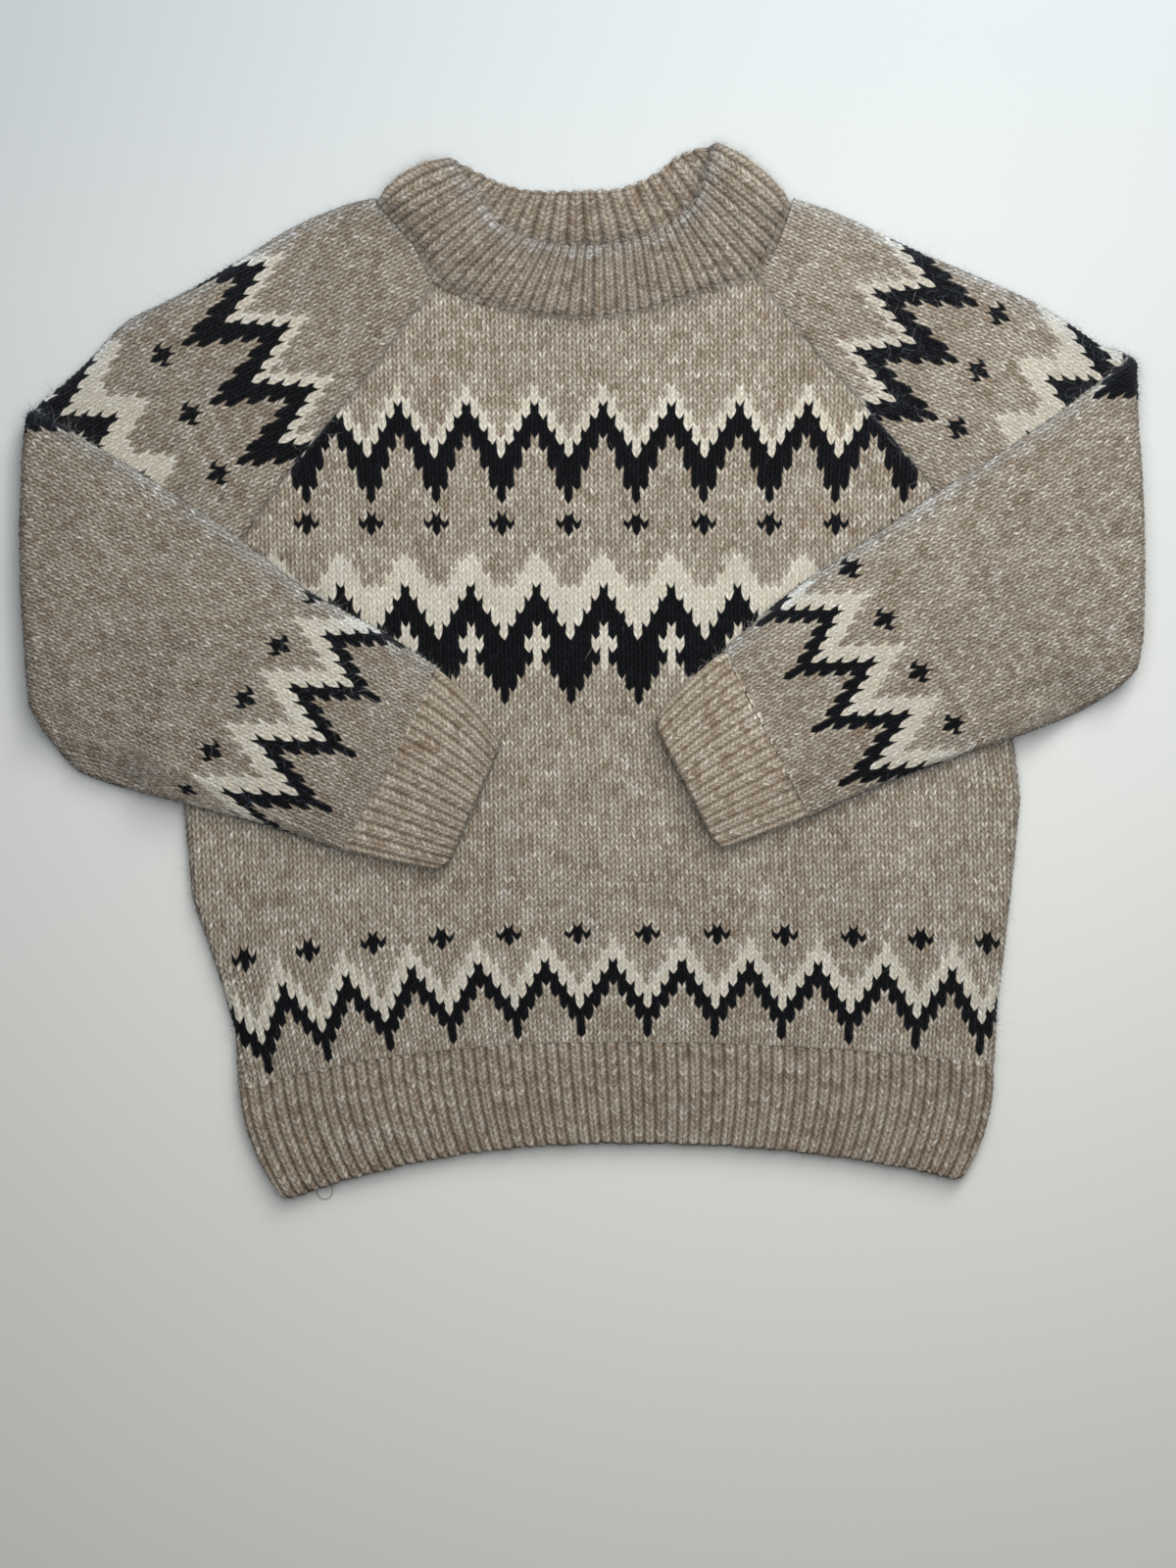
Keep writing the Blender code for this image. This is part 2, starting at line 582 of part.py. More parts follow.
def cuff(name, sleeve, ground, collection):
    """A ribbed cuff: its ridges stand out of the half that lies on top."""
    front_shares = [k / CUFF_PLAIN_SPANS for k in range(CUFF_PLAIN_SPANS + 1)]
    count = CUFF_RIBS * POINTS_PER_RIB
    back_shares = [1.0 - k / count for k in range(count + 1)]
    ridges = [RIB_RAISE * rib_wave(k / POINTS_PER_RIB) for k in range(count + 1)]
    levels = [row[1] + row[2] + (row[3],) for row in sleeve["cuff"]]
    gap = SEAM_GAP / math.dist(levels[0][:2], levels[1][:2])
    levels[0] = mix(levels[0], levels[1], gap)
    rings = [section(level, front_shares, back_shares, ridges) for level in levels]
    outer = [[fold_over(point, sleeve, ground) for point in ring[0]] for ring in rings]
    inner = [[fold_over(point, sleeve, ground) for point in ring[1]] for ring in rings]
    return wall_object(name, outer, inner, True, "rib", collection, RIB_SMOOTH_ANGLE)


# ---- neckband ---------------------------------------------------------------------------------
def band_section(seam, top, bow, along, ridge):
    """The outline of the doubled rib at one place: outer face, folded edge, inner face.

    It bows outwards between its edges. Where its outer face lies on the floor, that face is plain and flat.
    """
    rise = (top - seam).normalized()
    out = along.cross(rise).normalized()
    on_floor = smooth_step((-out.z - FLOOR_TILT[0]) / (FLOOR_TILT[1] - FLOOR_TILT[0]))
    base = seam + rise * SEAM_GAP
    tip = top - rise * BAND_HALF
    faces = []
    for way, raised in ((1.0, ridge * (1.0 - on_floor)), (-1.0, ridge)):
        face = []
        for share, part in BAND_PROFILE:
            middle = base.lerp(tip, share) + out * bow * 4.0 * share * (1.0 - share)
            middle.z = max(middle.z, BAND_HALF + FLOOR_GAP)
            face.append(middle + out * way * (BAND_HALF + raised * part))
        faces.append(face)
    crest = top + rise * CREST_RIB * ridge
    return [tuple(point) for point in faces[0] + [crest] + list(reversed(faces[1]))]


def neckband(collection):
    """The doubled rib round the neck: a flattened tube of ribbing whose front half lies on its back half."""
    rows = [row[1] + row[2] + (row[3],) for row in NECKBAND]
    count = len(rows)
    places, ridges = [], []
    for k in range(count):
        a, b, c, d = (rows[(k + n) % count] for n in (-1, 0, 1, 2))
        steps = NECKBAND[k][4] * POINTS_PER_RIB
        for step in range(steps):
            places.append(catmull(a, b, c, d, step / steps))
            ridges.append(BAND_RIB_RAISE * rib_wave(step / POINTS_PER_RIB))
    total = len(places)
    loops = []
    for k, place in enumerate(places):
        seam, top = Vector(place[0:3]), Vector(place[3:6])
        ahead, behind = places[(k + 2) % total], places[k - 2]
        along = Vector(ahead[0:3]) + Vector(ahead[3:6]) - Vector(behind[0:3]) - Vector(behind[3:6])
        loops.append(band_section(seam, top, place[6], along, ridges[k]))
    return loop_object("neckband", loops, collection)


def loop_object(name, loops, collection):
    """One closed ring through sections that are closed outlines themselves."""
    bm = bmesh.new()
    rings = [[bm.verts.new(in_metres(point)) for point in loop] for loop in loops]
    for here, there in zip(rings, rings[1:] + rings[:1]):
        for k, vert in enumerate(here):
            n = (k + 1) % len(here)
            bm.faces.new((vert, here[n], there[n], there[k]))
    return finished(name, bm, "neckband", collection, RIB_SMOOTH_ANGLE)


# ---- the jumper -------------------------------------------------------------------------------
def body_outline():
    """The outline in plan of the body, for what rests on it."""
    right = [(row[2], row[1] - row[4]) for row in BODY_ROWS + HEM_ROWS[1:]]
    left = [(row[3], row[1] - row[5]) for row in BODY_ROWS + HEM_ROWS[1:]]
    top = list(FRONT_RAGLAN_RIGHT + FRONT_NECK + FRONT_RAGLAN_LEFT)
    return list(reversed(right)) + top + left


def upper_sleeve_outline(sleeve):
    """The outline in plan of the part of a sleeve that lies before the elbow fold."""
    rows = sleeve["rows"][:3]
    outer_edge = [sleeve["neck_fold"]] + list(sleeve["shoulder"]) + [row[1] for row in rows]
    return outer_edge + [row[2] for row in reversed(rows)]


def build():
    """Makes the nine pieces."""
    for leftover in list(bpy.data.objects):
        bpy.data.objects.remove(leftover, do_unlink=True)
    collection = bpy.data.collections.new("fair_isle_jumper")
    bpy.context.scene.collection.children.link(collection)

    front_top = list(FRONT_RAGLAN_RIGHT + FRONT_NECK + FRONT_RAGLAN_LEFT)
    back_top = list(BACK_RAGLAN_RIGHT + BACK_NECK + BACK_RAGLAN_LEFT)
    body_panel("back", back_top, False, collection)
    body_panel("front", front_top, True, collection)
    hem_rib("hem_rib_back", False, collection)
    hem_rib("hem_rib_front", True, collection)

    gap = SEAM_GAP / 2.0
    right_front = inset(list(FRONT_RAGLAN_RIGHT), -gap)
    right_back = list(reversed(inset(list(BACK_RAGLAN_RIGHT), -gap)))
    left_front = list(reversed(inset(list(FRONT_RAGLAN_LEFT), -gap)))
    left_back = inset(list(BACK_RAGLAN_LEFT), -gap)
    body = body_outline()
    for side, sleeve, front_edge, back_edge in (
        ("right", SLEEVE_RIGHT, right_front, right_back),
        ("left", SLEEVE_LEFT, left_front, left_back),
    ):
        ground = (body, upper_sleeve_outline(sleeve))
        sleeve_body("sleeve_" + side, sleeve, front_edge, back_edge, ground, collection)
        cuff("cuff_" + side, sleeve, ground, collection)
    neckband(collection)


build()
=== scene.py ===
import math
import bpy
import numpy as np
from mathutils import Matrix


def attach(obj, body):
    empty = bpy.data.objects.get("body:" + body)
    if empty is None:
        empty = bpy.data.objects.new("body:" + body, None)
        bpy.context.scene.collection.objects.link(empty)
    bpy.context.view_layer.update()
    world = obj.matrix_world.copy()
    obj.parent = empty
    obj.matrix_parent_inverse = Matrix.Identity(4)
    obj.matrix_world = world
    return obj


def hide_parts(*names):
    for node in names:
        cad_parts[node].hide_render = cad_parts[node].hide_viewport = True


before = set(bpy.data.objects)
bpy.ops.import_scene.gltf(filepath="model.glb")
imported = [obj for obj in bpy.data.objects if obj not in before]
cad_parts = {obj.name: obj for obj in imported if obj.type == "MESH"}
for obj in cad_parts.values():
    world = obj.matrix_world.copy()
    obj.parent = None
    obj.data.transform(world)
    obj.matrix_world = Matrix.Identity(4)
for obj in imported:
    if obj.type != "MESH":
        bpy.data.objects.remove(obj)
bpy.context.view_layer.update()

# ---- the front and the back ---------------------------------------------------------------------
# Two panels of stocking stitch in a heathered oatmeal wool blend, with bands of cream and near-black
# navy stranded in. They are knitted from the hem up, sewn to the sleeves along the raglan lines, and
# lie on each other with rounded sides.
MM = 0.001
ORIGIN = np.array((-0.2, 0.2, 0.0))
LOFT = 6.2                  # two layers, outside to outside
SIDE_RADIUS = LOFT / 2.0
NECK_RISE = 1.6
NECK_CENTRE = (3.0, 211.0)
NECK_RADII = (93.0, 46.0)
NECK_BLEND = 0.75
STITCH_RELIEF = 0.80        # from the bottom of a groove to the top of a loop
V_DEPTH = 0.9               # how far the middle of a stitch hangs below its sides, in rows
WIGGLE = 0.16
SEAM_DEPTH = 0.6
MOTTLING = 0.11
BODY_TONE = 1.06
SIDE_SLOPE = 1.0            # the layers are thinner towards their rounded sides
SLOPE_REACH = 15.0
GROOVE_WIDTH = 1.3
CLEARANCE = 0.04            # the lowest stitches end in one plane, just above the ground
PLACES_PER_MM = 500.0       # points that agree to this fineness are one
FAR = 99.0
ARMPIT_REACH = 1.6 * SIDE_RADIUS
PAINTED_BAND_SHADOW = 0.38           # painted shadow: the neckband rolls over the first rows below it, which are darkened where its shadow falls
PAINTED_BAND_SHADOW_REACH = 3.2
# the body's first and last wale and row
BODY_STITCHES = (-52, 52, -27, 103)
# at the hem and at the neck: y, x of the middle wale, and the width of a stitch
GAUGE_LEVELS = (-170.4, 165.0)
MIDDLE_WALE = (14.3, 9.6)
STITCH_WIDTHS = (3.924, 3.976)

# height of the middle of each row above the hem's end: row number, y at mid width
ROW_LEVELS = ((-40.0, 246.2), (46.0, -12.7), (82.0, -115.9), (102.3, -170.4), (104.0, -175.0))
# y at mid width, x of the right side, x of the left side, drop at the right side, drop at the left side
BODY_LEVELS = (
    (51.6, -162.9, 180.6, 0.0, 0.0),
    (22.1, -171.5, 189.7, 0.0, 0.0),
    (-14.3, -179.7, 198.8, 0.0, 0.0),
    (-57.6, -184.7, 203.8, 0.0, 0.0),
    (-96.2, -180.2, 199.7, 8.0, 1.5),
    (-120.8, -169.3, 196.6, 14.6, 4.8),
    (-146.3, -160.2, 192.9, 19.0, 7.5),
    (-170.4, -158.8, 191.6, 21.5, 10.5),
)
# how far the wales lean in above the drawn-in hem: at each wale, in mm, at the lower stars and at the hem
LEAN_ROWS = (50.0, 84.0, 101.0)
LEAN_WALES = (-44.0, -36.0, -28.0, -20.0, -12.0, -4.0, 4.0, 12.0, 20.0, 28.0, 36.0, 44.0)
LEAN_STARS = (3.4, 1.4, 0.0, 0.2, 0.0, 0.5, 1.4, 2.4, 2.3, 2.7, 2.3, 1.8)
LEAN_HEM = (14.1, 10.0, 7.3, 5.0, 3.6, 1.4, 0.9, 0.5, 0.0, -0.2, -0.5, -2.3)
# the same on the chest, where the wales draw together
CHEST_ROWS = (0.0, 14.0, 46.0, 60.0)
CHEST_WALES = (-36.0, -28.0, -20.0, -12.0, -4.0, 4.0, 12.0, 20.0, 28.0)
CHEST_LEAN = (4.6, 2.8, 1.3, 0.0, -0.8, -1.2, -1.6, -2.8, -3.9)
DROP_CURVE = 2.2            # the rows fall towards each side by this power of the way out
ARMPIT_Y = 54.8
ARMPITS = ((-161.5, 54.8), (178.8, 57.6))
FRONT_RAGLAN_RIGHT = (
    (-161.5, 54.8), (-151.5, 72.1), (-137.9, 91.2), (-121.5, 111.7),
    (-103.3, 133.1), (-85.1, 157.7), (-66.9, 181.3),
)
FRONT_NECK = (
    (-66.9, 181.3), (-55.5, 176.3), (-38.2, 169.9), (-16.4, 165.8), (5.5, 164.5),
    (27.3, 168.1), (49.1, 174.5), (63.7, 179.5), (80.5, 184.5),
)
FRONT_RAGLAN_LEFT = (
    (178.8, 57.6), (163.3, 86.7), (147.0, 106.7), (130.6, 125.8),
    (113.8, 144.0), (96.9, 164.0), (80.5, 184.5),
)
BACK_RAGLAN_RIGHT = (
    (-161.5, 54.8), (-148.0, 81.0), (-134.5, 106.5), (-121.0, 131.5),
    (-108.0, 156.5), (-95.0, 181.0), (-81.9, 205.9),
)
BACK_NECK = (
    (-81.9, 205.9), (-67.3, 198.6), (-46.9, 193.1), (-21.8, 190.0), (5.5, 189.1),
    (30.5, 191.3), (55.5, 196.3), (76.0, 202.2), (91.9, 209.5),
)
BACK_RAGLAN_LEFT = (
    (178.8, 57.6), (164.0, 83.0), (149.5, 108.5), (135.0, 134.0),
    (120.5, 159.5), (106.0, 184.5), (91.9, 209.5),
)
# the traditional zigzags, charted for half a repeat: the first letter is the peak's stitch and the last
# the valley's. o is the ground, c cream, k near-black navy. Each has the row that it starts at and how
# many stitches it is shifted by
BODY_CHARTS = (
    (-3, 0, ("coooo", "coooo", "ccooo", "kcooo", "kccoo", "kkcoo", "kkcco", "kkkco", "okkcc",
          "okkkc", "ookkc", "ookkk", "ookkk", "oookk", "oookk", "oookk", "ooook", "ooook")),
    (17, 0, ("ooook", "oookk", "ooook")),
    (23, 0, ("coooo", "ccooo", "ccooo", "cccoo", "cccoo", "kcccc", "kcccc", "kkccc", "kkccc",
          "kkkcc", "kkkcc", "ckkkc", "ckkkc", "cckkk", "cckkk", "ckkkk", "ckkkk", "cokkk",
          "ookkk", "oookk", "oookk", "ooook", "ooook")),
    (82, 0, ("ooook", "oookk", "ooook")),
    (84, 0, ("coooo", "coooo", "ccooo", "ccooo", "kccoo", "kccoo", "kkcco", "kkcco", "okkcc",
          "okkcc", "ookkc", "ookkc", "oookk", "oookk", "ooook", "ooook", "ooook")),
)
HEATHER_TONES = ("#D1C5B2", "#F4EBDF", "#A8957F", "#E2D8C7", "#BEAE9A")
CREAM = "#F8F3E5"
CREAM_SHADE = "#EEE4CF"
CREAM_FLECKS = 0.45         # it isn't heathered, so its fibres differ far less than the ground's
NAVY = "#06070A"
NAVY_LIGHT = "#15181F"
HEATHER_STOPS = (0.0, 0.25, 0.45, 0.62, 0.80, 1.0)


def linear(colour):
    """An sRGB hex colour as linear numbers."""
    parts = np.array([int(colour[k:k + 2], 16) for k in (1, 3, 5)]) / 255.0
    return np.where(parts <= 0.04045, parts / 12.92, ((parts + 0.055) / 1.055) ** 2.4)


def smooth_step(t):
    """0 below 0, 1 above 1, with no corner between."""
    t = np.clip(t, 0.0, 1.0)
    return t * t * (3.0 - 2.0 * t)


def upper_face(x, y):
    """Height of two layers lying on each other, lifted near the neckband."""
    reach = np.hypot((x - NECK_CENTRE[0]) / NECK_RADII[0], (y - NECK_CENTRE[1]) / NECK_RADII[1])
    return LOFT + NECK_RISE * smooth_step(1.0 - (reach - 1.0) / NECK_BLEND)


# soft creases: where each starts and ends in plan, its height and its half width
CREASES = (
    ((-232.0, -28.0), (-180.0, -48.0), 1.0, 7.0),
    ((-236.0, 20.0), (-150.0, -32.0), -0.5, 9.0),
    ((-240.0, -12.0), (-200.0, -24.0), 1.0, 6.0),
    ((-238.0, -31.0), (-186.0, -47.0), 1.5, 4.5),
    ((-204.0, 40.0), (-150.0, 8.0), 0.7, 10.0),
    ((-228.0, 60.0), (-236.0, 20.0), 0.6, 9.0),
    ((-248.0, 96.0), (-170.0, 44.0), 0.5, 9.0),
    ((178.0, -46.0), (206.0, -30.0), 1.2, 6.0),
    ((176.0, -12.0), (220.0, 2.0), 1.1, 5.0),
    ((168.0, -28.0), (208.0, -16.0), 1.2, 4.0),
    ((196.0, 44.0), (140.0, 8.0), 0.7, 10.0),
    ((246.0, 110.0), (160.0, 52.0), 0.5, 9.0),
    ((150.0, -52.0), (176.0, -38.0), -0.7, 5.0),
    ((-60.0, -80.0), (120.0, -92.0), 0.5, 16.0),
    ((-150.0, -70.0), (-110.0, -120.0), 0.6, 12.0),
    ((150.0, -70.0), (170.0, -130.0), 0.5, 12.0),
    ((-50.0, 120.0), (60.0, 140.0), 0.4, 14.0),
)


def line_distance(x, y, start, end):
    """How far points lie in plan from a straight piece of line."""
    run = np.subtract(end, start)
    along = np.clip(((x - start[0]) * run[0] + (y - start[1]) * run[1]) / (run @ run), 0.0, 1.0)
    return np.hypot(x - start[0] - along * run[0], y - start[1] - along * run[1])


def uneven(x, y, z):
    """Heights with the cloth's gentle unevenness and creases, which all but the lowest layer follow."""
    out = 0.45 + 0.22 * np.sin(x / 31.0 + 0.7) * np.sin(y / 27.0 + 1.9)
    out = out + 0.16 * np.sin(x / 13.7 + y / 21.0 + 0.4) + 0.10 * np.sin(y / 9.3 - x / 17.0)
    for start, end, height, width in CREASES:
        out = out + height * np.exp(-(line_distance(x, y, start, end) / width) ** 2)
    return z + np.maximum(out, 0.0) * np.clip((z - SIDE_RADIUS) / SIDE_RADIUS, 0.0, 1.0)


def mottled(x, y):
    """The tone, around 1, of soft patches where the carded wool is browner or paler."""
    out = np.zeros(x.shape)
    for size, seed in ((6.5, 51), (17.0, 52)):
        grid = np.random.default_rng(seed).uniform(-1.0, 1.0, (140, 140))
        u, v = x / size + 70.0, y / size + 70.0
        i, j = np.floor(u).astype(int), np.floor(v).astype(int)
        s, t = smooth_step(u - i), smooth_step(v - j)
        out += 0.5 * ((grid[j, i] * (1.0 - s) + grid[j, i + 1] * s) * (1.0 - t)
                      + (grid[j + 1, i] * (1.0 - s) + grid[j + 1, i + 1] * s) * t)
    return 1.0 + MOTTLING * out


def armpit_height(x, y):
    """How much of its height the cloth has near an armpit, where front and back skins meet at mid height."""
    near = np.minimum(*(np.hypot(x - a[0], y - a[1]) for a in ARMPITS))
    t = np.clip(near / ARMPIT_REACH, 0.0, 1.0)
    return 0.5 + 0.5 * np.sqrt(1.0 - (1.0 - t) ** 2)


def lattice(first_wale, last_wale, first_row, last_row):
    """The corners of all the stitches' facets: four across a stitch and two up it."""
    wales = np.arange((last_wale - first_wale + 1) * 4 + 1) / 4.0 + first_wale - 0.5
    rows = np.arange((last_row - first_row) * 2 + 1) / 2.0 + first_row
    return np.meshgrid(wales, rows)


def stitch_form(c, r, rng):
    """For each corner: how far it hangs below its row, and its height from 0 to 1."""
    phase = np.rint((c + 0.5) * 4.0).astype(int) % 4
    middle = np.rint(r * 2.0).astype(int) % 2
    hang = np.array((0.0, 0.55, 1.0, 0.55))[phase] * V_DEPTH - 0.5 * V_DEPTH
    height = np.array((0.22, 1.0, 0.42, 1.0))[phase] * np.array((0.12, 1.0))[middle]
    height = height + 0.16 * rng.standard_normal(c.shape) * (middle == 1)
    return hang, np.clip(height, 0.0, 1.25)


def stitch_numbers(c, r):
    """The wale, the row and the leg, 0 or 1, that each facet of a lattice belongs to."""
    wale = np.floor(c[:-1, :-1] + 0.5 + 1e-6).astype(int)
    row = np.floor(r[:-1, :-1] + 1e-6).astype(int)
    return wale, row, (np.rint((c[:-1, :-1] + 0.5) * 4.0).astype(int) % 4 >= 2).astype(int)


def near_seam(away, height):
    """The relief of stitches at a distance from a seam, which sinks into a groove, and their painted shade,
    darker in their hollows and in the groove.
    """
    groove = np.exp(-(away / GROOVE_WIDTH) ** 2)
    relief = STITCH_RELIEF * height * (1.0 - 0.5 * groove) - SEAM_DEPTH * groove
    return relief, (0.72 + 0.34 * height) * (1.0 - 0.32 * groove)


def round_edge(at, end, way, rounding, relief):
    """Rounds a folded edge: how far past its start points lie, the angle turned, and where they go."""
    beyond = (at - end) * way + rounding
    turn = np.clip(beyond / np.maximum(rounding, 1e-6), 0.0, math.pi / 2.0)
    return beyond, turn, end - way * (rounding - (rounding + relief) * np.sin(turn))


def ink(c, r, charts):
    """Which yarn each stitch has: 0 the heather, 1 cream, 2 black. A chart may end at a wale."""
    out = np.zeros(c.shape, int)
    for start, shift, chart, *last in charts:
        away = np.abs((c + shift + 4) % 8 - 4)
        codes = np.array([["ock".index(letter) for letter in line] for line in chart])
        inside = (r >= start) & (r < start + len(chart)) & (c < (last[0] if last else FAR))
        found = codes[np.clip(r - start, 0, len(chart) - 1), away]
        out = np.where(inside & (found > 0), found, out)
    return out


def yarn_colours(c, r, leg, which, rng):
    """A colour for each leg of each stitch, heathered along the yarn, and how much its fibres differ."""
    shape = c.shape
    tones = np.array([linear(tone) for tone in HEATHER_TONES])
    c0, r0 = c.min(), r.min()
    table = rng.random((r.max() - r0 + 1, c.max() - c0 + 3))
    slow = table[r - r0, (c - c0) // 3]
    quick = rng.random((r.max() - r0 + 1, c.max() - c0 + 1, 2))[r - r0, c - c0, leg]
    pick = 0.25 * slow + 0.75 * quick
    order = tones[[2, 4, 0, 0, 3, 1]]
    heather = np.stack([np.interp(pick, HEATHER_STOPS, order[:, k]) for k in range(3)], axis=-1)
    cream = linear(CREAM) + (linear(CREAM_SHADE) - linear(CREAM)) * quick[..., None]
    navy = linear(NAVY) + (linear(NAVY_LIGHT) - linear(NAVY)) * (quick[..., None] ** 3)
    out = np.where((which == 1)[..., None], cream, heather)
    out = np.where((which == 2)[..., None], navy, out)
    flecks = np.where(which == 1, CREAM_FLECKS, 1.0)
    return np.concatenate((out.reshape(shape + (3,)), flecks[..., None]), axis=-1)


def grid_faces(rows, columns, closed=False):
    """Quads between neighbouring points of a grid, as numbers of points."""
    index = np.arange(rows * columns).reshape(rows, columns)
    if closed:
        index = np.concatenate((index, index[:, :1]), axis=1)
    a, b = index[:-1, :-1], index[:-1, 1:]
    c, d = index[1:, 1:], index[1:, :-1]
    return np.stack((a, b, c, d), axis=-1).reshape(-1, 4)


def stitch_faces(colours, hidden):
    """Quads of a lattice with their colours: four to a leg of a stitch, but one where the leg is hidden."""
    rows, columns = hidden.shape
    fine = grid_faces(rows, columns).reshape(rows - 1, columns - 1, 4)
    index = np.arange(rows * columns).reshape(rows, columns)
    corners = (index[:-2:2, :-2:2], index[:-2:2, 2::2], index[2::2, 2::2], index[2::2, :-2:2])
    coarse = np.stack(corners, axis=-1)
    unseen = hidden.reshape(-1)[coarse].all(axis=-1) & hidden[1::2, 1::2]
    seen = ~np.repeat(np.repeat(unseen, 2, axis=0), 2, axis=1)
    return (np.concatenate((fine[seen], coarse[unseen])),
            np.concatenate((colours[seen], colours[::2, ::2][unseen])))


def outside_distance(x, y, outline):
    """How far points lie outside a closed outline in plan, and 0 inside it."""
    outline = np.array(outline)
    nearest = np.full(x.shape, np.inf)
    inside = np.zeros(x.shape, bool)
    for a, b in zip(outline, np.roll(outline, -1, axis=0)):
        run = b - a
        nearest = np.minimum(nearest, line_distance(x, y, a, b))
        if a[1] != b[1]:
            crosses = ((a[1] > y) != (b[1] > y)) & (x < a[0] + (y - a[1]) * run[0] / run[1])
            inside ^= crosses
    return np.where(inside, 0.0, nearest)


def as_patch(points, quads, colours, shade, u, v):
    """What knitted_mesh takes: points in mm, quads, a colour for each, a painted shade for each point and
    UVs.
    """
    return {"points": points, "quads": quads, "colours": colours, "shade": shade,
            "uv": np.stack((u, v), axis=-1)}


def filled_mesh(name, places, vertex, sides, tints, uvs=None):
    """A mesh from points in metres, the point of each face's corners, how many each has, and the yarn."""
    mesh = bpy.data.meshes.new(name)
    mesh.vertices.add(len(places))
    mesh.vertices.foreach_set("co", places.astype(np.float32).ravel())
    mesh.loops.add(len(vertex))
    mesh.loops.foreach_set("vertex_index", vertex.astype(np.int32).ravel())
    mesh.polygons.add(len(sides))
    starts = np.concatenate(([0], np.cumsum(sides)[:-1]))
    mesh.polygons.foreach_set("loop_start", starts.astype(np.int32))
    mesh.polygons.foreach_set("loop_total", sides.astype(np.int32))
    if uvs is not None:
        layer = mesh.uv_layers.new(name="wale_and_row")
        layer.data.foreach_set("uv", uvs.astype(np.float32).ravel())
    tint = mesh.color_attributes.new(name="yarn", type="FLOAT_COLOR", domain="CORNER")
    tint.data.foreach_set("color", tints.astype(np.float32).ravel())
    mesh.update(calc_edges=True)
    return mesh


def knitted_mesh(name, patches):
    """One mesh from patches, with the points that they share joined."""
    points, colours, shades, uvs = (
        np.concatenate([patch[key].reshape(-1, size) for patch in patches])
        for key, size in (("points", 3), ("colours", 4), ("shade", 1), ("uv", 2)))
    counts = np.cumsum([0] + [patch["points"].size // 3 for patch in patches])
    quads = np.concatenate([patch["quads"] + count for patch, count in zip(patches, counts)])
    keys = np.rint(points * PLACES_PER_MM).astype(np.int64)
    _, first, same = np.unique(keys, axis=0, return_index=True, return_inverse=True)
    same = same.reshape(-1)
    merged = same[quads]
    # a quad whose side has shrunk to nothing is a triangle, and one with less than that is left out
    ahead = np.roll(merged, -1, axis=1)
    kept = merged != ahead
    sides = kept.sum(axis=1)
    good = (sides >= 3) & (merged[:, 0] != merged[:, 2]) & (merged[:, 1] != merged[:, 3])
    kept, merged, corner = kept[good], merged[good], quads[good]
    sides, colours = sides[good], colours[good]
    vertex = merged[kept]
    corner = corner[kept]
    tints = np.repeat(colours, sides, axis=0)
    # the painted shade darkens the yarn colour at each corner, less on the cream, in which light spreads
    tints[:, :3] *= shades[corner] ** (0.5 + 0.5 * tints[:, 3:])
    used, vertex = np.unique(vertex, return_inverse=True)
    mesh = filled_mesh(name, (points[first][used] - ORIGIN) * MM, vertex, sides, tints, uvs[corner])
    mesh.validate()
    mesh.shade_smooth()
    return mesh


def placed(name, mesh, material):
    """An object in the scene, with its mesh and its one material."""
    thing = bpy.data.objects.new(name, mesh)
    thing.data.materials.append(material)
    bpy.context.scene.collection.objects.link(thing)
    return thing


def knitted_piece(name, patches, material, slot, *nodes):
    """A finished piece in its place: it rides on the jumper and stands for its solids."""
    piece = placed(name, knitted_mesh(name, patches), material)
    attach(piece, "root")
    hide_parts(*nodes)
    return piece


def node(material, kind, links=(), **settings):
    """Adds a node with its settings, and links (output, input) pairs into it."""
    tree = material.node_tree
    new = tree.nodes.new(kind)
    for key, value in settings.items():
        if key.startswith("in_"):
            socket = key[3:]
            new.inputs[int(socket) if socket.isdigit() else socket.replace("_", " ")].default_value = value
        else:
            setattr(new, key, value)
    for source, socket in links:
        tree.links.new(source, new.inputs[socket])
    return new


ROW_SHADE = 0.45
FIBRE_SCALE = (9.0, 2.6, 1.0)
FLECK_DARK = (-0.60, -0.64, -0.68)  # the brown fibres against the yarn's tone, and the way to the pale ones
FLECK_SPAN = (1.22, 1.30, 1.36)
CREAM_HOLLOWS = 0.46        # light spreads inside the cream yarn, so its hollows are less dark


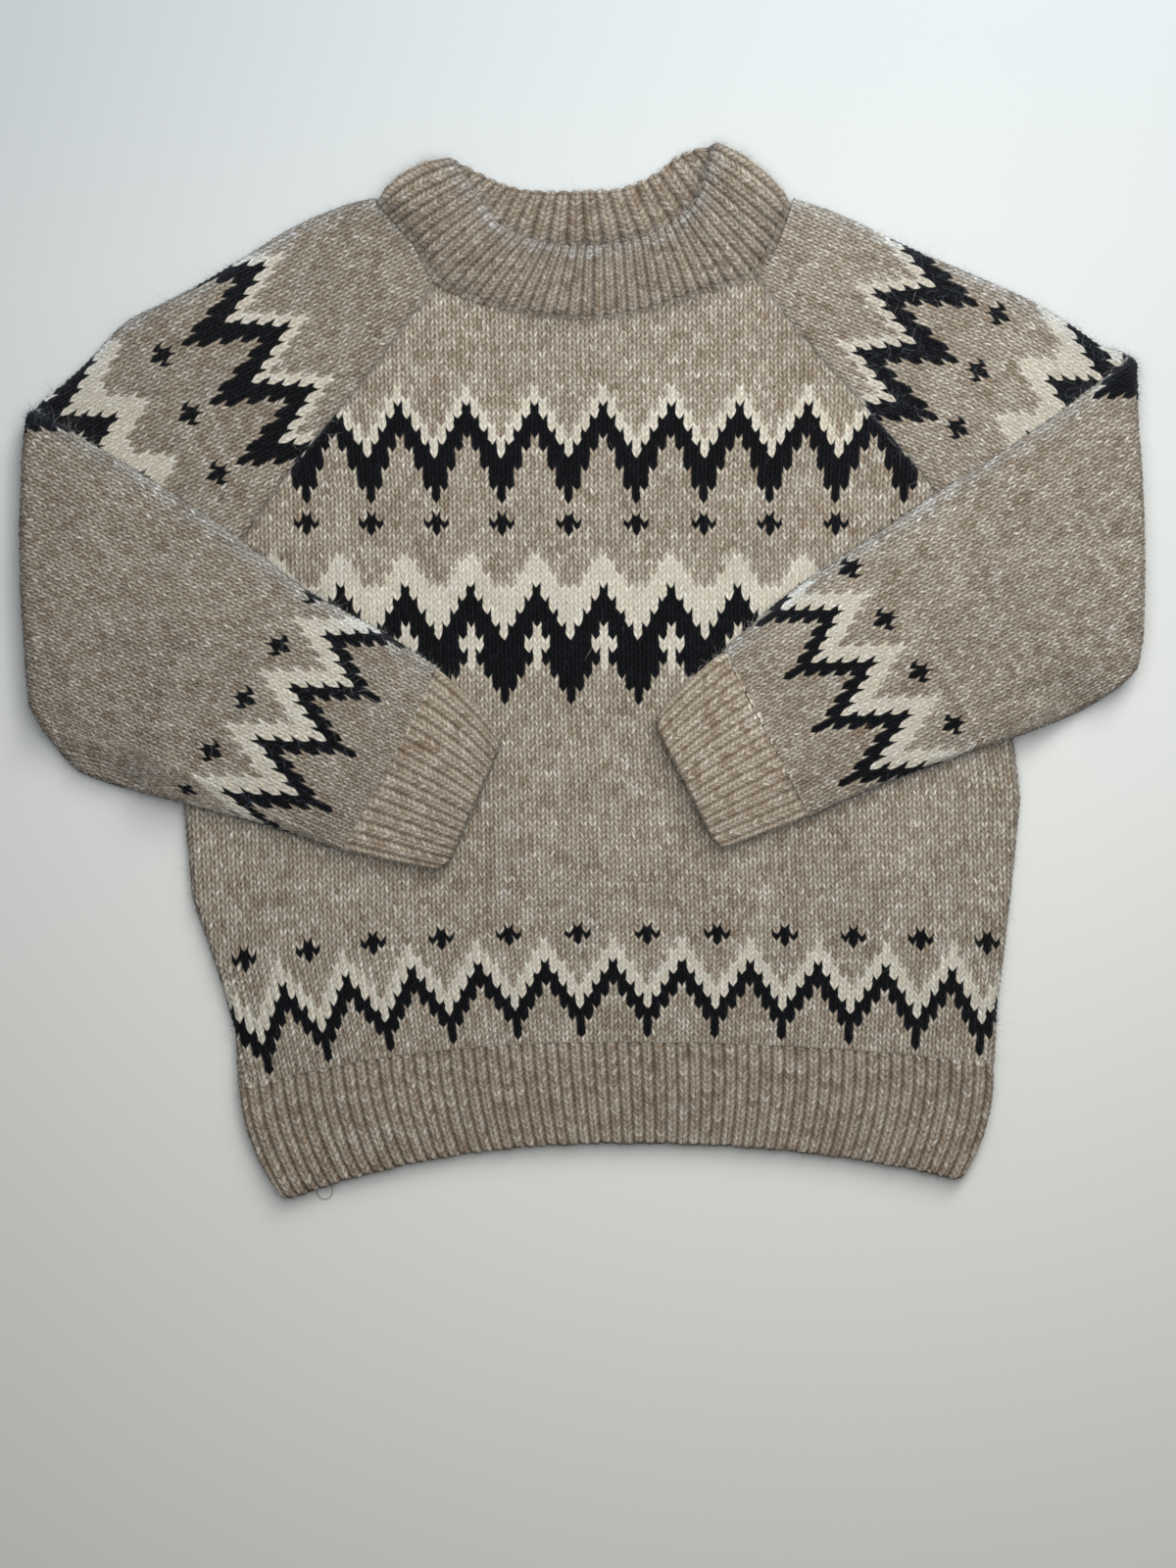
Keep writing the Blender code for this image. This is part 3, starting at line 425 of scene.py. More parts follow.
def wool_material(name, fuzz, shade_warmth, across):
    """Carded wool yarn: matt, with a pale sheen from its loose fibres. Each leg of a stitch is a round
    strand of twisted fibres in mixed tones, with painted shade, browner by shade_warmth, where it dips
    behind its neighbours."""
    wool = bpy.data.materials.new(name)
    wool.use_nodes = True
    wool.node_tree.nodes.clear()
    place = node(wool, "ShaderNodeUVMap", uv_map="wale_and_row")
    tint = node(wool, "ShaderNodeAttribute", attribute_name="yarn")
    parts = node(wool, "ShaderNodeSeparateXYZ", [(place.outputs["UV"], "Vector")])
    wale = node(wool, "ShaderNodeMath", [(parts.outputs["X"], 0)], operation="FRACT")
    # painted shade: these tones darken the colour between the legs and between the rows, and also give the
    # bump
    strand = node(wool, "ShaderNodeValToRGB", [(wale.outputs["Value"], "Fac")])
    ramp = strand.color_ramp
    ramp.interpolation = "EASE"
    while len(ramp.elements) < len(across):
        ramp.elements.new(0.5)
    for element, (at, level) in zip(ramp.elements, across):
        element.position, element.color = at, (level, level, level, 1.0)
    turn = node(wool, "ShaderNodeMath", [(parts.outputs["Y"], 0)], operation="MULTIPLY", in_1=math.pi)
    wave = node(wool, "ShaderNodeMath", [(turn.outputs["Value"], 0)], operation="SINE")
    loop = node(wool, "ShaderNodeMath", [(wave.outputs["Value"], 0)], operation="ABSOLUTE")
    loop_tone = node(wool, "ShaderNodeMapRange", [(loop.outputs["Value"], "Value")],
                     in_1=0.0, in_2=0.75, in_3=ROW_SHADE, in_4=1.0)
    round_tone = node(wool, "ShaderNodeMath",
                      [(strand.outputs["Color"], 0), (loop_tone.outputs["Result"], 1)], operation="MULTIPLY")
    # fibres in mixed tones, drawn out along each leg: a third of a millimetre wide and one or two long
    fibre_place = node(wool, "ShaderNodeVectorMath", [(place.outputs["UV"], 0)], operation="MULTIPLY",
                       in_1=FIBRE_SCALE)
    flecks = node(wool, "ShaderNodeTexNoise", [(fibre_place.outputs["Vector"], "Vector")],
                  in_Scale=1.0, in_Detail=3.0, in_Roughness=0.7)
    fleck_share = node(wool, "ShaderNodeMapRange", [(flecks.outputs["Fac"], "Value")],
                       in_1=0.34, in_2=0.66, in_3=0.0, in_4=1.0)
    fleck_change = node(wool, "ShaderNodeVectorMath", [(fleck_share.outputs["Result"], 0)],
                        operation="MULTIPLY_ADD", in_1=FLECK_SPAN, in_2=FLECK_DARK)
    fleck_tone = node(wool, "ShaderNodeVectorMath",
                      [(fleck_change.outputs["Vector"], 0), (tint.outputs["Alpha"], 1)],
                      operation="MULTIPLY_ADD", in_2=(1.0, 1.0, 1.0))
    # the painted shade of the hollows, softened in the cream
    softness = node(wool, "ShaderNodeMapRange", [(tint.outputs["Alpha"], "Value")],
                    in_1=0.0, in_2=1.0, in_3=CREAM_HOLLOWS, in_4=1.0)
    lack = node(wool, "ShaderNodeMath", [(round_tone.outputs["Value"], 1)], operation="SUBTRACT", in_0=1.0)
    soft_lack = node(wool, "ShaderNodeMath", [(lack.outputs["Value"], 0), (softness.outputs["Result"], 1)],
                     operation="MULTIPLY")
    soft_tone = node(wool, "ShaderNodeMath", [(soft_lack.outputs["Value"], 1)],
                     operation="SUBTRACT", in_0=1.0)
    hollow_shade = node(wool, "ShaderNodeVectorMath", [(soft_tone.outputs["Value"], 0)],
                       operation="MULTIPLY_ADD",
                       in_1=(1.0 - shade_warmth, 1.0, 1.0 + shade_warmth), in_2=(shade_warmth, 0.0, -shade_warmth))
    shade_and_fleck_tone = node(wool, "ShaderNodeVectorMath",
                      [(hollow_shade.outputs["Vector"], 0), (fleck_tone.outputs["Vector"], 1)],
                      operation="MULTIPLY")
    mixed = node(wool, "ShaderNodeVectorMath",
                 [(tint.outputs["Color"], 0), (shade_and_fleck_tone.outputs["Vector"], 1)], operation="MULTIPLY")
    bump_height = node(wool, "ShaderNodeMath",
                       [(round_tone.outputs["Value"], 0), (fleck_share.outputs["Result"], 1)],
                       operation="MULTIPLY")
    bump = node(wool, "ShaderNodeBump", [(bump_height.outputs["Value"], "Height")],
                in_Strength=0.9, in_Distance=0.0008)
    shader = node(wool, "ShaderNodeBsdfPrincipled",
                  [(mixed.outputs["Vector"], "Base Color"), (bump.outputs["Normal"], "Normal")],
                  in_Roughness=0.92, in_Sheen_Weight=fuzz, in_Sheen_Roughness=0.45, in_IOR=1.45)
    shader.inputs["Sheen Tint"].default_value = (0.86, 0.9, 1.0, 1.0)
    shader.inputs["Specular IOR Level"].default_value = 0.1
    node(wool, "ShaderNodeOutputMaterial", [(shader.outputs["BSDF"], "Surface")])
    return wool


knit_wool = wool_material("heathered_wool_stocking_stitch", 0.07, 0.0, (
    (0.0, 0.40), (0.25, 1.0), (0.5, 0.42), (0.75, 1.0), (1.0, 0.40)))


def along_line(points, value, by):
    """The other coordinate of a line in plan, where its coordinate by (0 x, 1 y) has a value."""
    line = np.array(sorted(points, key=lambda point: point[by]))
    return np.interp(value, line[:, by], line[:, 1 - by])


def body_side(y):
    """x of both rounded sides and the drop of the rows there, at a height on the body."""
    table = np.array(BODY_LEVELS)[::-1]
    return [np.interp(y, table[:, 0], table[:, k]) for k in (1, 2, 3, 4)]


# where the forearms lie on the front, a little way in from their edges
COVERED_BY_ARMS = (
    ((-175.0, 60.0), (-140.0, 58.0), (-90.0, 14.0), (-56.0, -13.0), (-56.0, -24.0), (-72.0, -68.0),
     (-130.0, -58.0), (-180.0, -45.0)),
    ((190.0, 58.0), (160.0, 60.0), (125.0, 40.0), (90.0, 16.0), (54.0, -20.0), (74.0, -60.0),
     (150.0, -32.0), (195.0, -18.0)),
)


def fallen(y, share, drop_right, drop_left):
    """Rows that fall towards the sides: y lowered by a share of the way from the right side to the left."""
    y = y - drop_right * np.clip((0.5 - share) / 0.5, 0.0, 1.0) ** DROP_CURVE
    return y - drop_left * np.clip((share - 0.5) / 0.5, 0.0, 1.0) ** DROP_CURVE


def body_panel(raglan_right, neck, raglan_left, upper, seed):
    """The front or the back, stitch by stitch."""
    rng = np.random.default_rng(seed)
    c, r = lattice(*BODY_STITCHES)
    hang, height = stitch_form(c, r, rng)
    row_table = np.array(ROW_LEVELS)
    y = np.interp(r + hang, row_table[:, 0], row_table[:, 1])
    y = np.maximum(y, BODY_LEVELS[-1][0])
    x = np.interp(y, GAUGE_LEVELS, MIDDLE_WALE) + c * np.interp(y, GAUGE_LEVELS, STITCH_WIDTHS)
    first_lean, second_lean = (
        np.clip((r - a) / (b - a), 0.0, 1.2) for a, b in zip(LEAN_ROWS, LEAN_ROWS[1:]))
    lean = np.interp(c, LEAN_WALES, LEAN_STARS)
    x = x + lean * np.minimum(first_lean, 1.0) + (np.interp(c, LEAN_WALES, LEAN_HEM) - lean) * second_lean
    x = x + np.interp(c, CHEST_WALES, CHEST_LEAN) * np.interp(r, CHEST_ROWS, (0.0, 1.0, 1.0, 0.0))
    x = x + WIGGLE * rng.standard_normal(x.shape)
    y = y + WIGGLE * rng.standard_normal(x.shape) * (y > BODY_LEVELS[-1][0] + 1.0)
    right, left, drop_right, drop_left = body_side(y)
    y = fallen(y, np.clip((x - right) / (left - right), 0.0, 1.0), drop_right, drop_left)
    # the neck edge and the raglan seams cut the rows off
    y = np.minimum(y, along_line(neck, x, 0))
    seam_right = along_line(raglan_right, y, 1)
    seam_left = along_line(raglan_left, y, 1)
    yoke = y > ARMPIT_Y
    x = np.where(yoke, np.clip(x, seam_right, seam_left), x)
    away = np.where(yoke, np.minimum(x - seam_right, seam_left - x) * 0.78, FAR)
    below_band = along_line(neck, x, 0) - y
    relief, shade = near_seam(np.minimum(away, below_band), height)
    slope = np.exp(-(np.minimum(x - right, left - x).clip(0.0) / SLOPE_REACH) ** 2)
    top = upper_face(x, y) - SIDE_SLOPE * slope * smooth_step((ARMPIT_Y - y) / 25.0)
    # the rounded sides
    z = top * armpit_height(x, y)
    rounding = np.clip((ARMPIT_Y + 3.0 - y) / 6.0, 0.0, 1.0) * SIDE_RADIUS
    for way, side in ((-1.0, right), (1.0, left)):
        beyond, turn, rounded = round_edge(x, side, way, rounding, relief)
        curved = (beyond > 0.0) & (rounding > 0.0) & ~yoke
        x = np.where(curved, rounded, x)
        z = np.where(curved, top - SIDE_RADIUS + (SIDE_RADIUS + relief) * np.cos(turn), z)
    z = np.where(z >= top * armpit_height(x, y) - 1e-9, z + relief, z)
    if upper:
        z = uneven(x, y, z)
    else:
        z = np.maximum(LOFT - (z - top + LOFT) + STITCH_RELIEF, CLEARANCE)
        z = np.minimum(z, SIDE_RADIUS)
    # painted shadow: the rows just under the neckband are darkened
    shade = shade * (1.0 - PAINTED_BAND_SHADOW * np.exp(-(below_band / PAINTED_BAND_SHADOW_REACH) ** 2)) * mottled(x, y)
    wale, row, leg = stitch_numbers(c, r)
    colours = yarn_colours(wale, row, leg, ink(wale, row, BODY_CHARTS), rng)
    colours[..., :3] *= BODY_TONE
    hidden = np.full(c.shape, not upper)
    for arm in COVERED_BY_ARMS:
        hidden |= outside_distance(x, y, arm) == 0.0
    return as_patch(np.stack((x, y, z), axis=-1), *stitch_faces(colours, hidden), shade, c, r)


front = knitted_piece(
    "front_panel", [body_panel(FRONT_RAGLAN_RIGHT, FRONT_NECK, FRONT_RAGLAN_LEFT, True, 11)],
    knit_wool, "fair_isle_knit", "front")
back = knitted_piece(
    "back_panel", [body_panel(BACK_RAGLAN_RIGHT, BACK_NECK, BACK_RAGLAN_LEFT, False, 12)],
    knit_wool, "fair_isle_knit", "back")

# ---- the sleeves ----------------------------------------------------------------------------------
# Raglan sleeves in the same wool and bands, knitted as flattened tubes from the shoulder to the cuff. They
# are folded over at the elbow, so that each forearm lies across the front with its under half on top.
FOLD_AXIS_Z = 6.5
FOLD_LENGTH = math.pi * FOLD_AXIS_Z
FOLD_BOW_REACH = 45.0
FOLD_GAP = 0.15             # half of what is left between the two layers inside the fold
SLEEVE_STITCHES = (-20, 42, -30)
HIDDEN_BEYOND = (-14.0, 10.0)       # the back half is hidden before the fold, and the front half past it
EDGE_SHEEN_TINT = (1.08, 1.18, 1.34)   # painted sheen: the raised fibres along a folded edge scatter pale bluish light, painted in as a paler, bluer yarn
EDGE_SHEEN_WIDTH = 5.0
# painted light: a little blue-grey light is added to the colour along that edge
RIM_LIGHT = 0.03
BLUE_GREY_FIBRE = "#8E99A8"
SQUEEZE = 0.55
SQUEEZE_WALES = (24.0, 33.0)
SQUEEZE_ROWS = (60.0, 84.0)
SAG_DROP = 6.1
SAG_START = 8.0
SAG_RUN = 24.0
DOME = 1.8                  # the upper arm swells in the middle
# each line across a sleeve or a cuff: its end at the shoulder edge, its end at the underarm edge, and its
# puff. A guide row: row number, the middle peak's place in plan, the row's direction, a stitch's width
SLEEVE_RIGHT = {
    "side": -1,
    # painted shade: this sleeve lies away from the window light, so its ground yarn is darkened
    "tone": 0.87,
    "fold_x": -254.3,
    "fold_bow": ((-45.0, 0.0), (-30.0, 3.5), (-18.9, 6.0), (-5.2, 4.9), (9.8, 4.0), (25.3, 3.2), (40.3, 1.9),
                 (70.8, 1.0), (85.8, 1.5), (100.8, 2.0), (116.0, 3.7), (130.0, 5.5)),
    "front_seam": FRONT_RAGLAN_RIGHT,
    "back_seam": BACK_RAGLAN_RIGHT,
    "neck": ((-77.2, 199.8), (-89.0, 213.6)),
    "neck_fold": (-95.4, 221.2),
    "shoulder": ((-110.6, 217.3), (-133.3, 207.7), (-155.2, 194.5), (-176.5, 181.5), (-196.0, 171.4)),
    "rows": (
        ((-212.0, 163.1), (-167.6, 50.6), 0.0), ((-233.4, 144.0), (-195.5, 27.5), 0.0),
        ((-254.3, 128.5), (-254.3, -9.0), 0.0), ((-264.5, 121.0), (-264.5, -15.5), 0.3),
        ((-274.8, 120.0), (-274.8, -24.5), 0.8), ((-313.9, 99.3), (-293.4, -42.5), 2.0),
        ((-349.4, 77.1), (-311.4, -50.2), 2.6), ((-375.8, 58.5), (-327.0, -54.6), 2.8),
        ((-402.6, 38.0), (-347.5, -59.6), 2.8), ((-435.8, 19.8), (-386.4, -70.0), 2.6),
        ((-463.6, 2.0), (-419.9, -81.7), 2.4),
    ),
    "cuff": (
        ((-463.6, 2.0), (-419.9, -81.7), 2.4),
        ((-480.8, -14.0), (-443.8, -87.1), 2.2),
        ((-493.6, -30.3), (-466.3, -91.7), 1.6),
    ),
    "guide": (
        (-24.0, -66.1, 197.8, 0.360, -0.933, 3.80), (0.0, -134.7, 161.8, 0.385, -0.923, 3.82),
        (28.0, -214.7, 119.7, 0.450, -0.893, 3.75), (60.0, -305.4, 72.1, 0.500, -0.866, 3.65),
        (97.0, -411.0, 18.4, 0.550, -0.835, 3.60), (109.5, -440.6, 0.9, 0.400, -0.917, 3.45),
        (116.5, -458.1, -8.5, 0.463, -0.886, 3.40),
    ),
}
SLEEVE_LEFT = {
    "side": 1,
    "tone": 1.0,
    "fold_x": 253.9,
    "fold_bow": ((-30.0, 0.0), (-15.0, 3.0), (-3.9, 5.0), (5.2, 2.4), (17.5, 0.8), (45.0, 0.2), (70.8, 0.0),
                 (98.0, 1.0), (113.0, 2.4), (142.0, 3.2)),
    "front_seam": FRONT_RAGLAN_LEFT,
    "back_seam": BACK_RAGLAN_LEFT,
    "neck": ((89.4, 198.8), (94.6, 212.0)),
    "neck_fold": (98.0, 220.8),
    "shoulder": ((112.8, 216.2), (130.6, 208.7), (152.0, 198.4), (174.7, 188.6), (205.0, 175.4)),
    "rows": (
        ((230.0, 161.5), (185.0, 52.6), 0.0), ((243.5, 153.0), (219.9, 27.7), 0.0),
        ((253.9, 150.0), (253.9, 8.5), 0.0), ((264.1, 146.5), (264.1, 2.5), 0.3),
        ((274.3, 142.5), (274.3, -5.0), 0.8), ((308.0, 119.5), (293.0, -15.2), 2.0),
        ((339.8, 98.3), (312.3, -22.8), 2.6), ((367.1, 81.0), (330.2, -29.2), 2.8),
        ((396.7, 61.0), (351.9, -36.6), 2.8), ((430.8, 37.9), (388.6, -50.0), 2.6),
        ((463.6, 9.8), (423.1, -65.7), 2.4),
    ),
    "cuff": (
        ((463.6, 9.8), (423.1, -65.7), 2.4),
        ((480.9, -5.1), (444.7, -73.9), 2.2),
        ((495.9, -20.7), (465.0, -81.7), 1.6),
    ),
    "guide": (
        (-24.0, 66.9, 207.6, -0.290, -0.957, 3.50), (0.0, 135.6, 177.2, -0.310, -0.951, 3.52),
        (19.0, 190.0, 153.1, -0.342, -0.940, 3.51), (28.0, 216.0, 137.0, -0.370, -0.929, 3.50),
        (60.0, 304.9, 86.2, -0.460, -0.888, 3.55), (97.0, 409.2, 30.0, -0.560, -0.828, 3.60),
        (109.5, 439.2, 11.3, -0.450, -0.893, 3.45), (117.0, 458.2, -0.3, -0.473, -0.881, 3.40),
    ),
}
FOREARM_ROW = 97
ZIGZAG_1, STARS, ZIGZAG_2 = (entry[2] for entry in BODY_CHARTS[:3])
SLEEVE_CHARTS = ((-3, 0, ZIGZAG_1), (17, 0, STARS, 16), (23, 0, ZIGZAG_2)) + (
    (FOREARM_ROW - 6, 0, STARS),
    (FOREARM_ROW - 5, 0, ("coooo", "coooo", "ccooo", "ccooo", "cccoo", "kccoo", "kccco", "kkcco", "kkccc",
                       "okkcc", "okkcc", "ookkc", "ookkc", "oookk", "oookk", "ooook", "ooook", "ooook")),
)
UNDER_CHARTS = ((-3, 0, ZIGZAG_1), (17, 0, STARS, 16), (27, 4, ZIGZAG_2, -4)) + SLEEVE_CHARTS[3:]


def on_curve(a, b, c, d, t):
    """The place at a share t of the way from b to c, on the smooth curve through all four."""
    return b + 0.5 * t * (c - a + t * (2 * a - 5 * b + 4 * c - d + t * (3 * b - a - 3 * c + d)))


def smooth_line(points, steps=6):
    """More points on a smooth curve through those of a line."""
    points = np.array(points, float)
    padded = np.concatenate((points[:1], points, points[-1:]))
    out = [points[0]]
    for k in range(len(points) - 1):
        out += [on_curve(*padded[k:k + 4], step / steps) for step in range(1, steps + 1)]
    return np.array(out)


# the body and the hem as the forearms find them below
BODY_OUTLINE = (
    [(row[1], row[0] - row[3]) for row in reversed(BODY_LEVELS)]
    + list(FRONT_RAGLAN_RIGHT + FRONT_NECK[1:-1] + FRONT_RAGLAN_LEFT[::-1])
    + [(row[2], row[0] - row[4]) for row in BODY_LEVELS]
    + [(178.4, -235.0), (-139.7, -245.0)])


def folded(x, y, z, sleeve):
    """Folds points of the flat sleeve over at the elbow. The forearm sags where nothing is under it."""
    side, fold_x = sleeve["side"], sleeve["fold_x"]
    beyond = (x - fold_x) * side
    radius = FOLD_AXIS_Z - z
    turn = np.clip(beyond / FOLD_LENGTH, 0.0, 1.0) * math.pi
    x_new = fold_x + side * (radius * np.sin(turn) - np.maximum(beyond - FOLD_LENGTH, 0.0))
    z_new = FOLD_AXIS_Z - radius * np.cos(turn)
    arm = [sleeve["neck_fold"]] + list(sleeve["shoulder"]) + [row[0] for row in sleeve["rows"][:3]]
    arm += [row[1] for row in reversed(sleeve["rows"][:3])]
    free = np.minimum(outside_distance(x_new, y, BODY_OUTLINE), outside_distance(x_new, y, arm))
    turned = (1.0 - np.cos(turn)) / 2.0
    z_new = z_new - SAG_DROP * smooth_step((free - SAG_START) / SAG_RUN) * turned * turned
    z_new = np.where(beyond > 0.0, uneven(x_new, y, z_new), uneven(x, y, z))
    x_new = np.where(beyond > 0.0, x_new, x)
    # the fold isn't straight: it bows in towards its two ends
    heights, bows = zip(*sleeve["fold_bow"])
    near = 1.0 - smooth_step(np.abs(x_new - fold_x) / FOLD_BOW_REACH)
    return x_new - side * np.interp(y, heights, bows) * near, y, z_new


def sleeve_edges(sleeve, half):
    """The outline in plan of a half of the flat sleeve: pieces of line, and whether each is a seam."""
    rows = sleeve["rows"]
    seam = sorted(sleeve[half + "_seam"], key=lambda point: point[1])
    neck = list(sleeve["neck"]) if half == "front" else []
    top = smooth_line([sleeve["neck_fold"]] + list(sleeve["shoulder"]) + [row[0] for row in rows])
    under = smooth_line([seam[0]] + [row[1] for row in rows])
    lines = [(seam + neck + [sleeve["neck_fold"]], True), (top, False),
             ([rows[-1][0], rows[-1][1]], True), (under[::-1], False)]
    edges = []
    for line, is_seam in lines:
        edges += [(np.array(a), np.array(b), is_seam) for a, b in zip(line[:-1], line[1:])]
    return edges


def row_ends(sleeve, half, rows):
    """For each row: where it crosses the outline on either side, and whether it ends there in a seam."""
    guide = np.array(sleeve["guide"])
    base = np.stack([np.interp(rows, guide[:, 0], guide[:, k]) for k in (1, 2)], axis=-1)
    way = np.stack([np.interp(rows, guide[:, 0], guide[:, k]) for k in (3, 4)], axis=-1)
    way = way / np.hypot(way[:, 0], way[:, 1])[:, None]
    low, high = np.full(len(rows), np.inf), np.full(len(rows), -np.inf)
    low_seam, high_seam = np.ones(len(rows)), np.ones(len(rows))
    for a, b, is_seam in sleeve_edges(sleeve, half):
        run = b - a
        cross = way[:, 0] * run[1] - way[:, 1] * run[0]
        offset = a - base
        t = (offset[:, 0] * run[1] - offset[:, 1] * run[0]) / cross
        share = (offset[:, 0] * way[:, 1] - offset[:, 1] * way[:, 0]) / cross
        hit = (share >= -1e-6) & (share <= 1.0 + 1e-6)
        nearer = hit & (t < low)
        low, low_seam = np.where(nearer, t, low), np.where(nearer, float(is_seam), low_seam)
        further = hit & (t > high)
        high, high_seam = np.where(further, t, high), np.where(further, float(is_seam), high_seam)
    return low, high, low_seam, high_seam


def sleeve_half(sleeve, half, seed):
    """The front or the back half of a sleeve, stitch by stitch, folded over at the elbow."""
    rng = np.random.default_rng(seed)
    guide = np.array(sleeve["guide"])
    end_row = guide[-1, 0]
    c, r = lattice(*SLEEVE_STITCHES, int(end_row) + 1)
    hang, height = stitch_form(c, r, rng)
    row = np.minimum(r + hang + 0.03 * rng.standard_normal(r.shape), end_row)
    fine = np.linspace(guide[0, 0] - 6.0, end_row, 2000)
    slope = (guide[1, 1:] - guide[0, 1:]) / (guide[1, 0] - guide[0, 0])
    before = np.concatenate(([guide[0, 0] - 8.0], guide[0, 1:] - 8.0 * slope))
    full = np.vstack((before, guide))
    low, high, low_seam, high_seam = row_ends(dict(sleeve, guide=full), half, fine)
    real = np.isfinite(low) & np.isfinite(high)
    first = fine[real][0]
    row = np.maximum(row, first)
    low, high, low_seam, high_seam = (
        np.interp(row, fine[real], values[real]) for values in (low, high, low_seam, high_seam))
    base_x, base_y, way_x, way_y, gauge = (np.interp(row, full[:, 0], full[:, k]) for k in range(1, 6))
    length = np.hypot(way_x, way_y)
    way_x, way_y = way_x / length, way_y / length
    # the outer wales of a forearm lie closer together, as they start to turn down over its edge
    squeeze = SQUEEZE * np.clip(c - SQUEEZE_WALES[0], 0.0, SQUEEZE_WALES[1] - SQUEEZE_WALES[0])
    squeeze = squeeze * smooth_step((r - SQUEEZE_ROWS[0]) / (SQUEEZE_ROWS[1] - SQUEEZE_ROWS[0]))
    t = (c - squeeze) * gauge + WIGGLE * rng.standard_normal(c.shape)
    at = np.clip(t, low, high)
    top = upper_face(base_x + at * way_x, base_y + at * way_y)
    # seams: the raglan, the neck edge and the cuff
    away = np.minimum(np.where(low_seam > 0.5, (t - low) * 0.8, FAR),
                      np.where(high_seam > 0.5, (high - t) * 0.8, FAR))
    relief, shade = near_seam(np.maximum(away, 0.0), height)
    share = np.clip((t - low) / np.maximum(high - low, 1e-6), 0.0, 1.0)
    levels = np.array([[(a[0] + b[0]) / 2.0 * sleeve["side"], puff] for a, b, puff in sleeve["rows"]])
    mid_x = (base_x + (low + high) / 2.0 * way_x) * sleeve["side"]
    puff = np.interp(mid_x, levels[:, 0], levels[:, 1]) * (1.0 - (2.0 * share - 1.0) ** 2)
    beyond = (base_x + at * way_x - sleeve["fold_x"]) * sleeve["side"]
    turned_over = smooth_step(beyond / FOLD_LENGTH)
    if half == "front":
        relief = relief * (1.0 - 0.7 * turned_over)
    radius = top / 2.0
    stand = radius + relief
    edge = np.minimum(np.where(low_seam > 0.5, FAR, at - low), np.where(high_seam > 0.5, FAR, high - at))
    dome = DOME * (1.0 - (2.0 * share - 1.0) ** 2) * np.clip((high - low) / 110.0, 0.0, 1.0)
    dome = dome * smooth_step((-beyond - 5.0) / 30.0) - SIDE_SLOPE * np.exp(-(edge / SLOPE_REACH) ** 2) * (
        smooth_step(-beyond / 10.0) + smooth_step((beyond - FOLD_LENGTH) / 10.0))
    turn = np.zeros(t.shape)
    for way, end, is_seam in ((-1.0, low, low_seam), (1.0, high, high_seam)):
        rounding = radius * np.clip(1.0 - 2.0 * is_seam, 0.0, 1.0)
        past, angle, rounded = round_edge(t, end, way, rounding, relief)
        curved = (past > 0.0) & (rounding > 0.01)
        at, turn = np.where(curved, rounded, at), np.where(curved, angle, turn)
    x = base_x + at * way_x
    y = base_y + at * way_y
    lift = 2.0 * armpit_height(x, y) - 1.0
    if half == "front":
        z = radius + (stand + dome) * np.cos(turn) * lift
        inside_fold = (beyond > -4.0) & (beyond < FOLD_LENGTH + 4.0)
        z = np.where(inside_fold, np.minimum(z, FOLD_AXIS_Z - FOLD_GAP), z)
    else:
        z = radius - (stand + puff + np.minimum(dome, 0.0) * (beyond > FOLD_LENGTH)) * np.cos(turn) * lift
        z = z + STITCH_RELIEF * (1.0 - turned_over) * np.cos(turn)
        z = np.where(beyond < 0.0, np.maximum(z, CLEARANCE), z)
    x, y, z = folded(x, y, z, sleeve)
    z = np.maximum(z, CLEARANCE)
    shade = shade * mottled(x, y)
    wale, line, leg = stitch_numbers(c, r)
    which = ink(wale, line, SLEEVE_CHARTS if half == "front" else UNDER_CHARTS)
    colours = yarn_colours(wale, line, leg, which, rng)
    # painted sheen and painted rim light near one edge of the sleeve
    edge_sheen = np.exp(-(np.maximum(t - low, 0.0) / EDGE_SHEEN_WIDTH) ** 2)[:-1, :-1, None]
    # painted shade: the ground yarn of a sleeve lying away from the light is darkened by its tone
    tone = np.where(which == 1, 1.0, sleeve["tone"])[..., None]
    colours[..., :3] *= tone * (1.0 + (np.array(EDGE_SHEEN_TINT) - 1.0) * edge_sheen)
    colours[..., :3] += RIM_LIGHT * linear(BLUE_GREY_FIBRE) * edge_sheen
    hidden = beyond > HIDDEN_BEYOND[1] if half == "front" else beyond < HIDDEN_BEYOND[0]
    return as_patch(np.stack((x, y, z), axis=-1), *stitch_faces(colours, hidden), shade, c, r)


sleeve_right = knitted_piece(
    "right_sleeve", [sleeve_half(SLEEVE_RIGHT, "front", 21), sleeve_half(SLEEVE_RIGHT, "back", 22)],
    knit_wool, "fair_isle_knit", "sleeve_right")
sleeve_left = knitted_piece(
    "left_sleeve", [sleeve_half(SLEEVE_LEFT, "front", 23), sleeve_half(SLEEVE_LEFT, "back", 24)],
    knit_wool, "fair_isle_knit", "sleeve_left")

# ---- the ribbed hem -------------------------------------------------------------------------------
# A 1x1 rib of the same wool, knitted on from the first row of the front and the back: rounded columns of
# V stitches with deep furrows of purl between them, and a soft bound-off edge.
HEM_LEVELS = (
    (-170.4, -158.8, 191.6, 21.5, 10.5),
    (-194.1, -152.9, 188.8, 24.6, 13.9),
    (-217.7, -139.7, 178.4, 27.3, 17.6),
)
WALL = 2.6
HEM_RIBS = 64
RIB_RELIEF = 1.35           # from the bottom of a furrow to the top of a rib
RIB_ROWS = 18
RIB_HEIGHTS = (0.0, 0.50, 1.0, 0.74, 1.0, 0.50)
RIB_HANGS = (0.0, 0.35, 0.7, 1.0, 0.7, 0.35)
LINING_ROWS = 8
CORNER_ROUND = 5.0          # how far the bound-off edge draws back at the two folds
HEM_CORNER = (0.965, 0.035)         # where it starts to on the way out to a fold, and the rest of the way
TUCK = -0.045               # the first row starts a little way under the stocking stitch
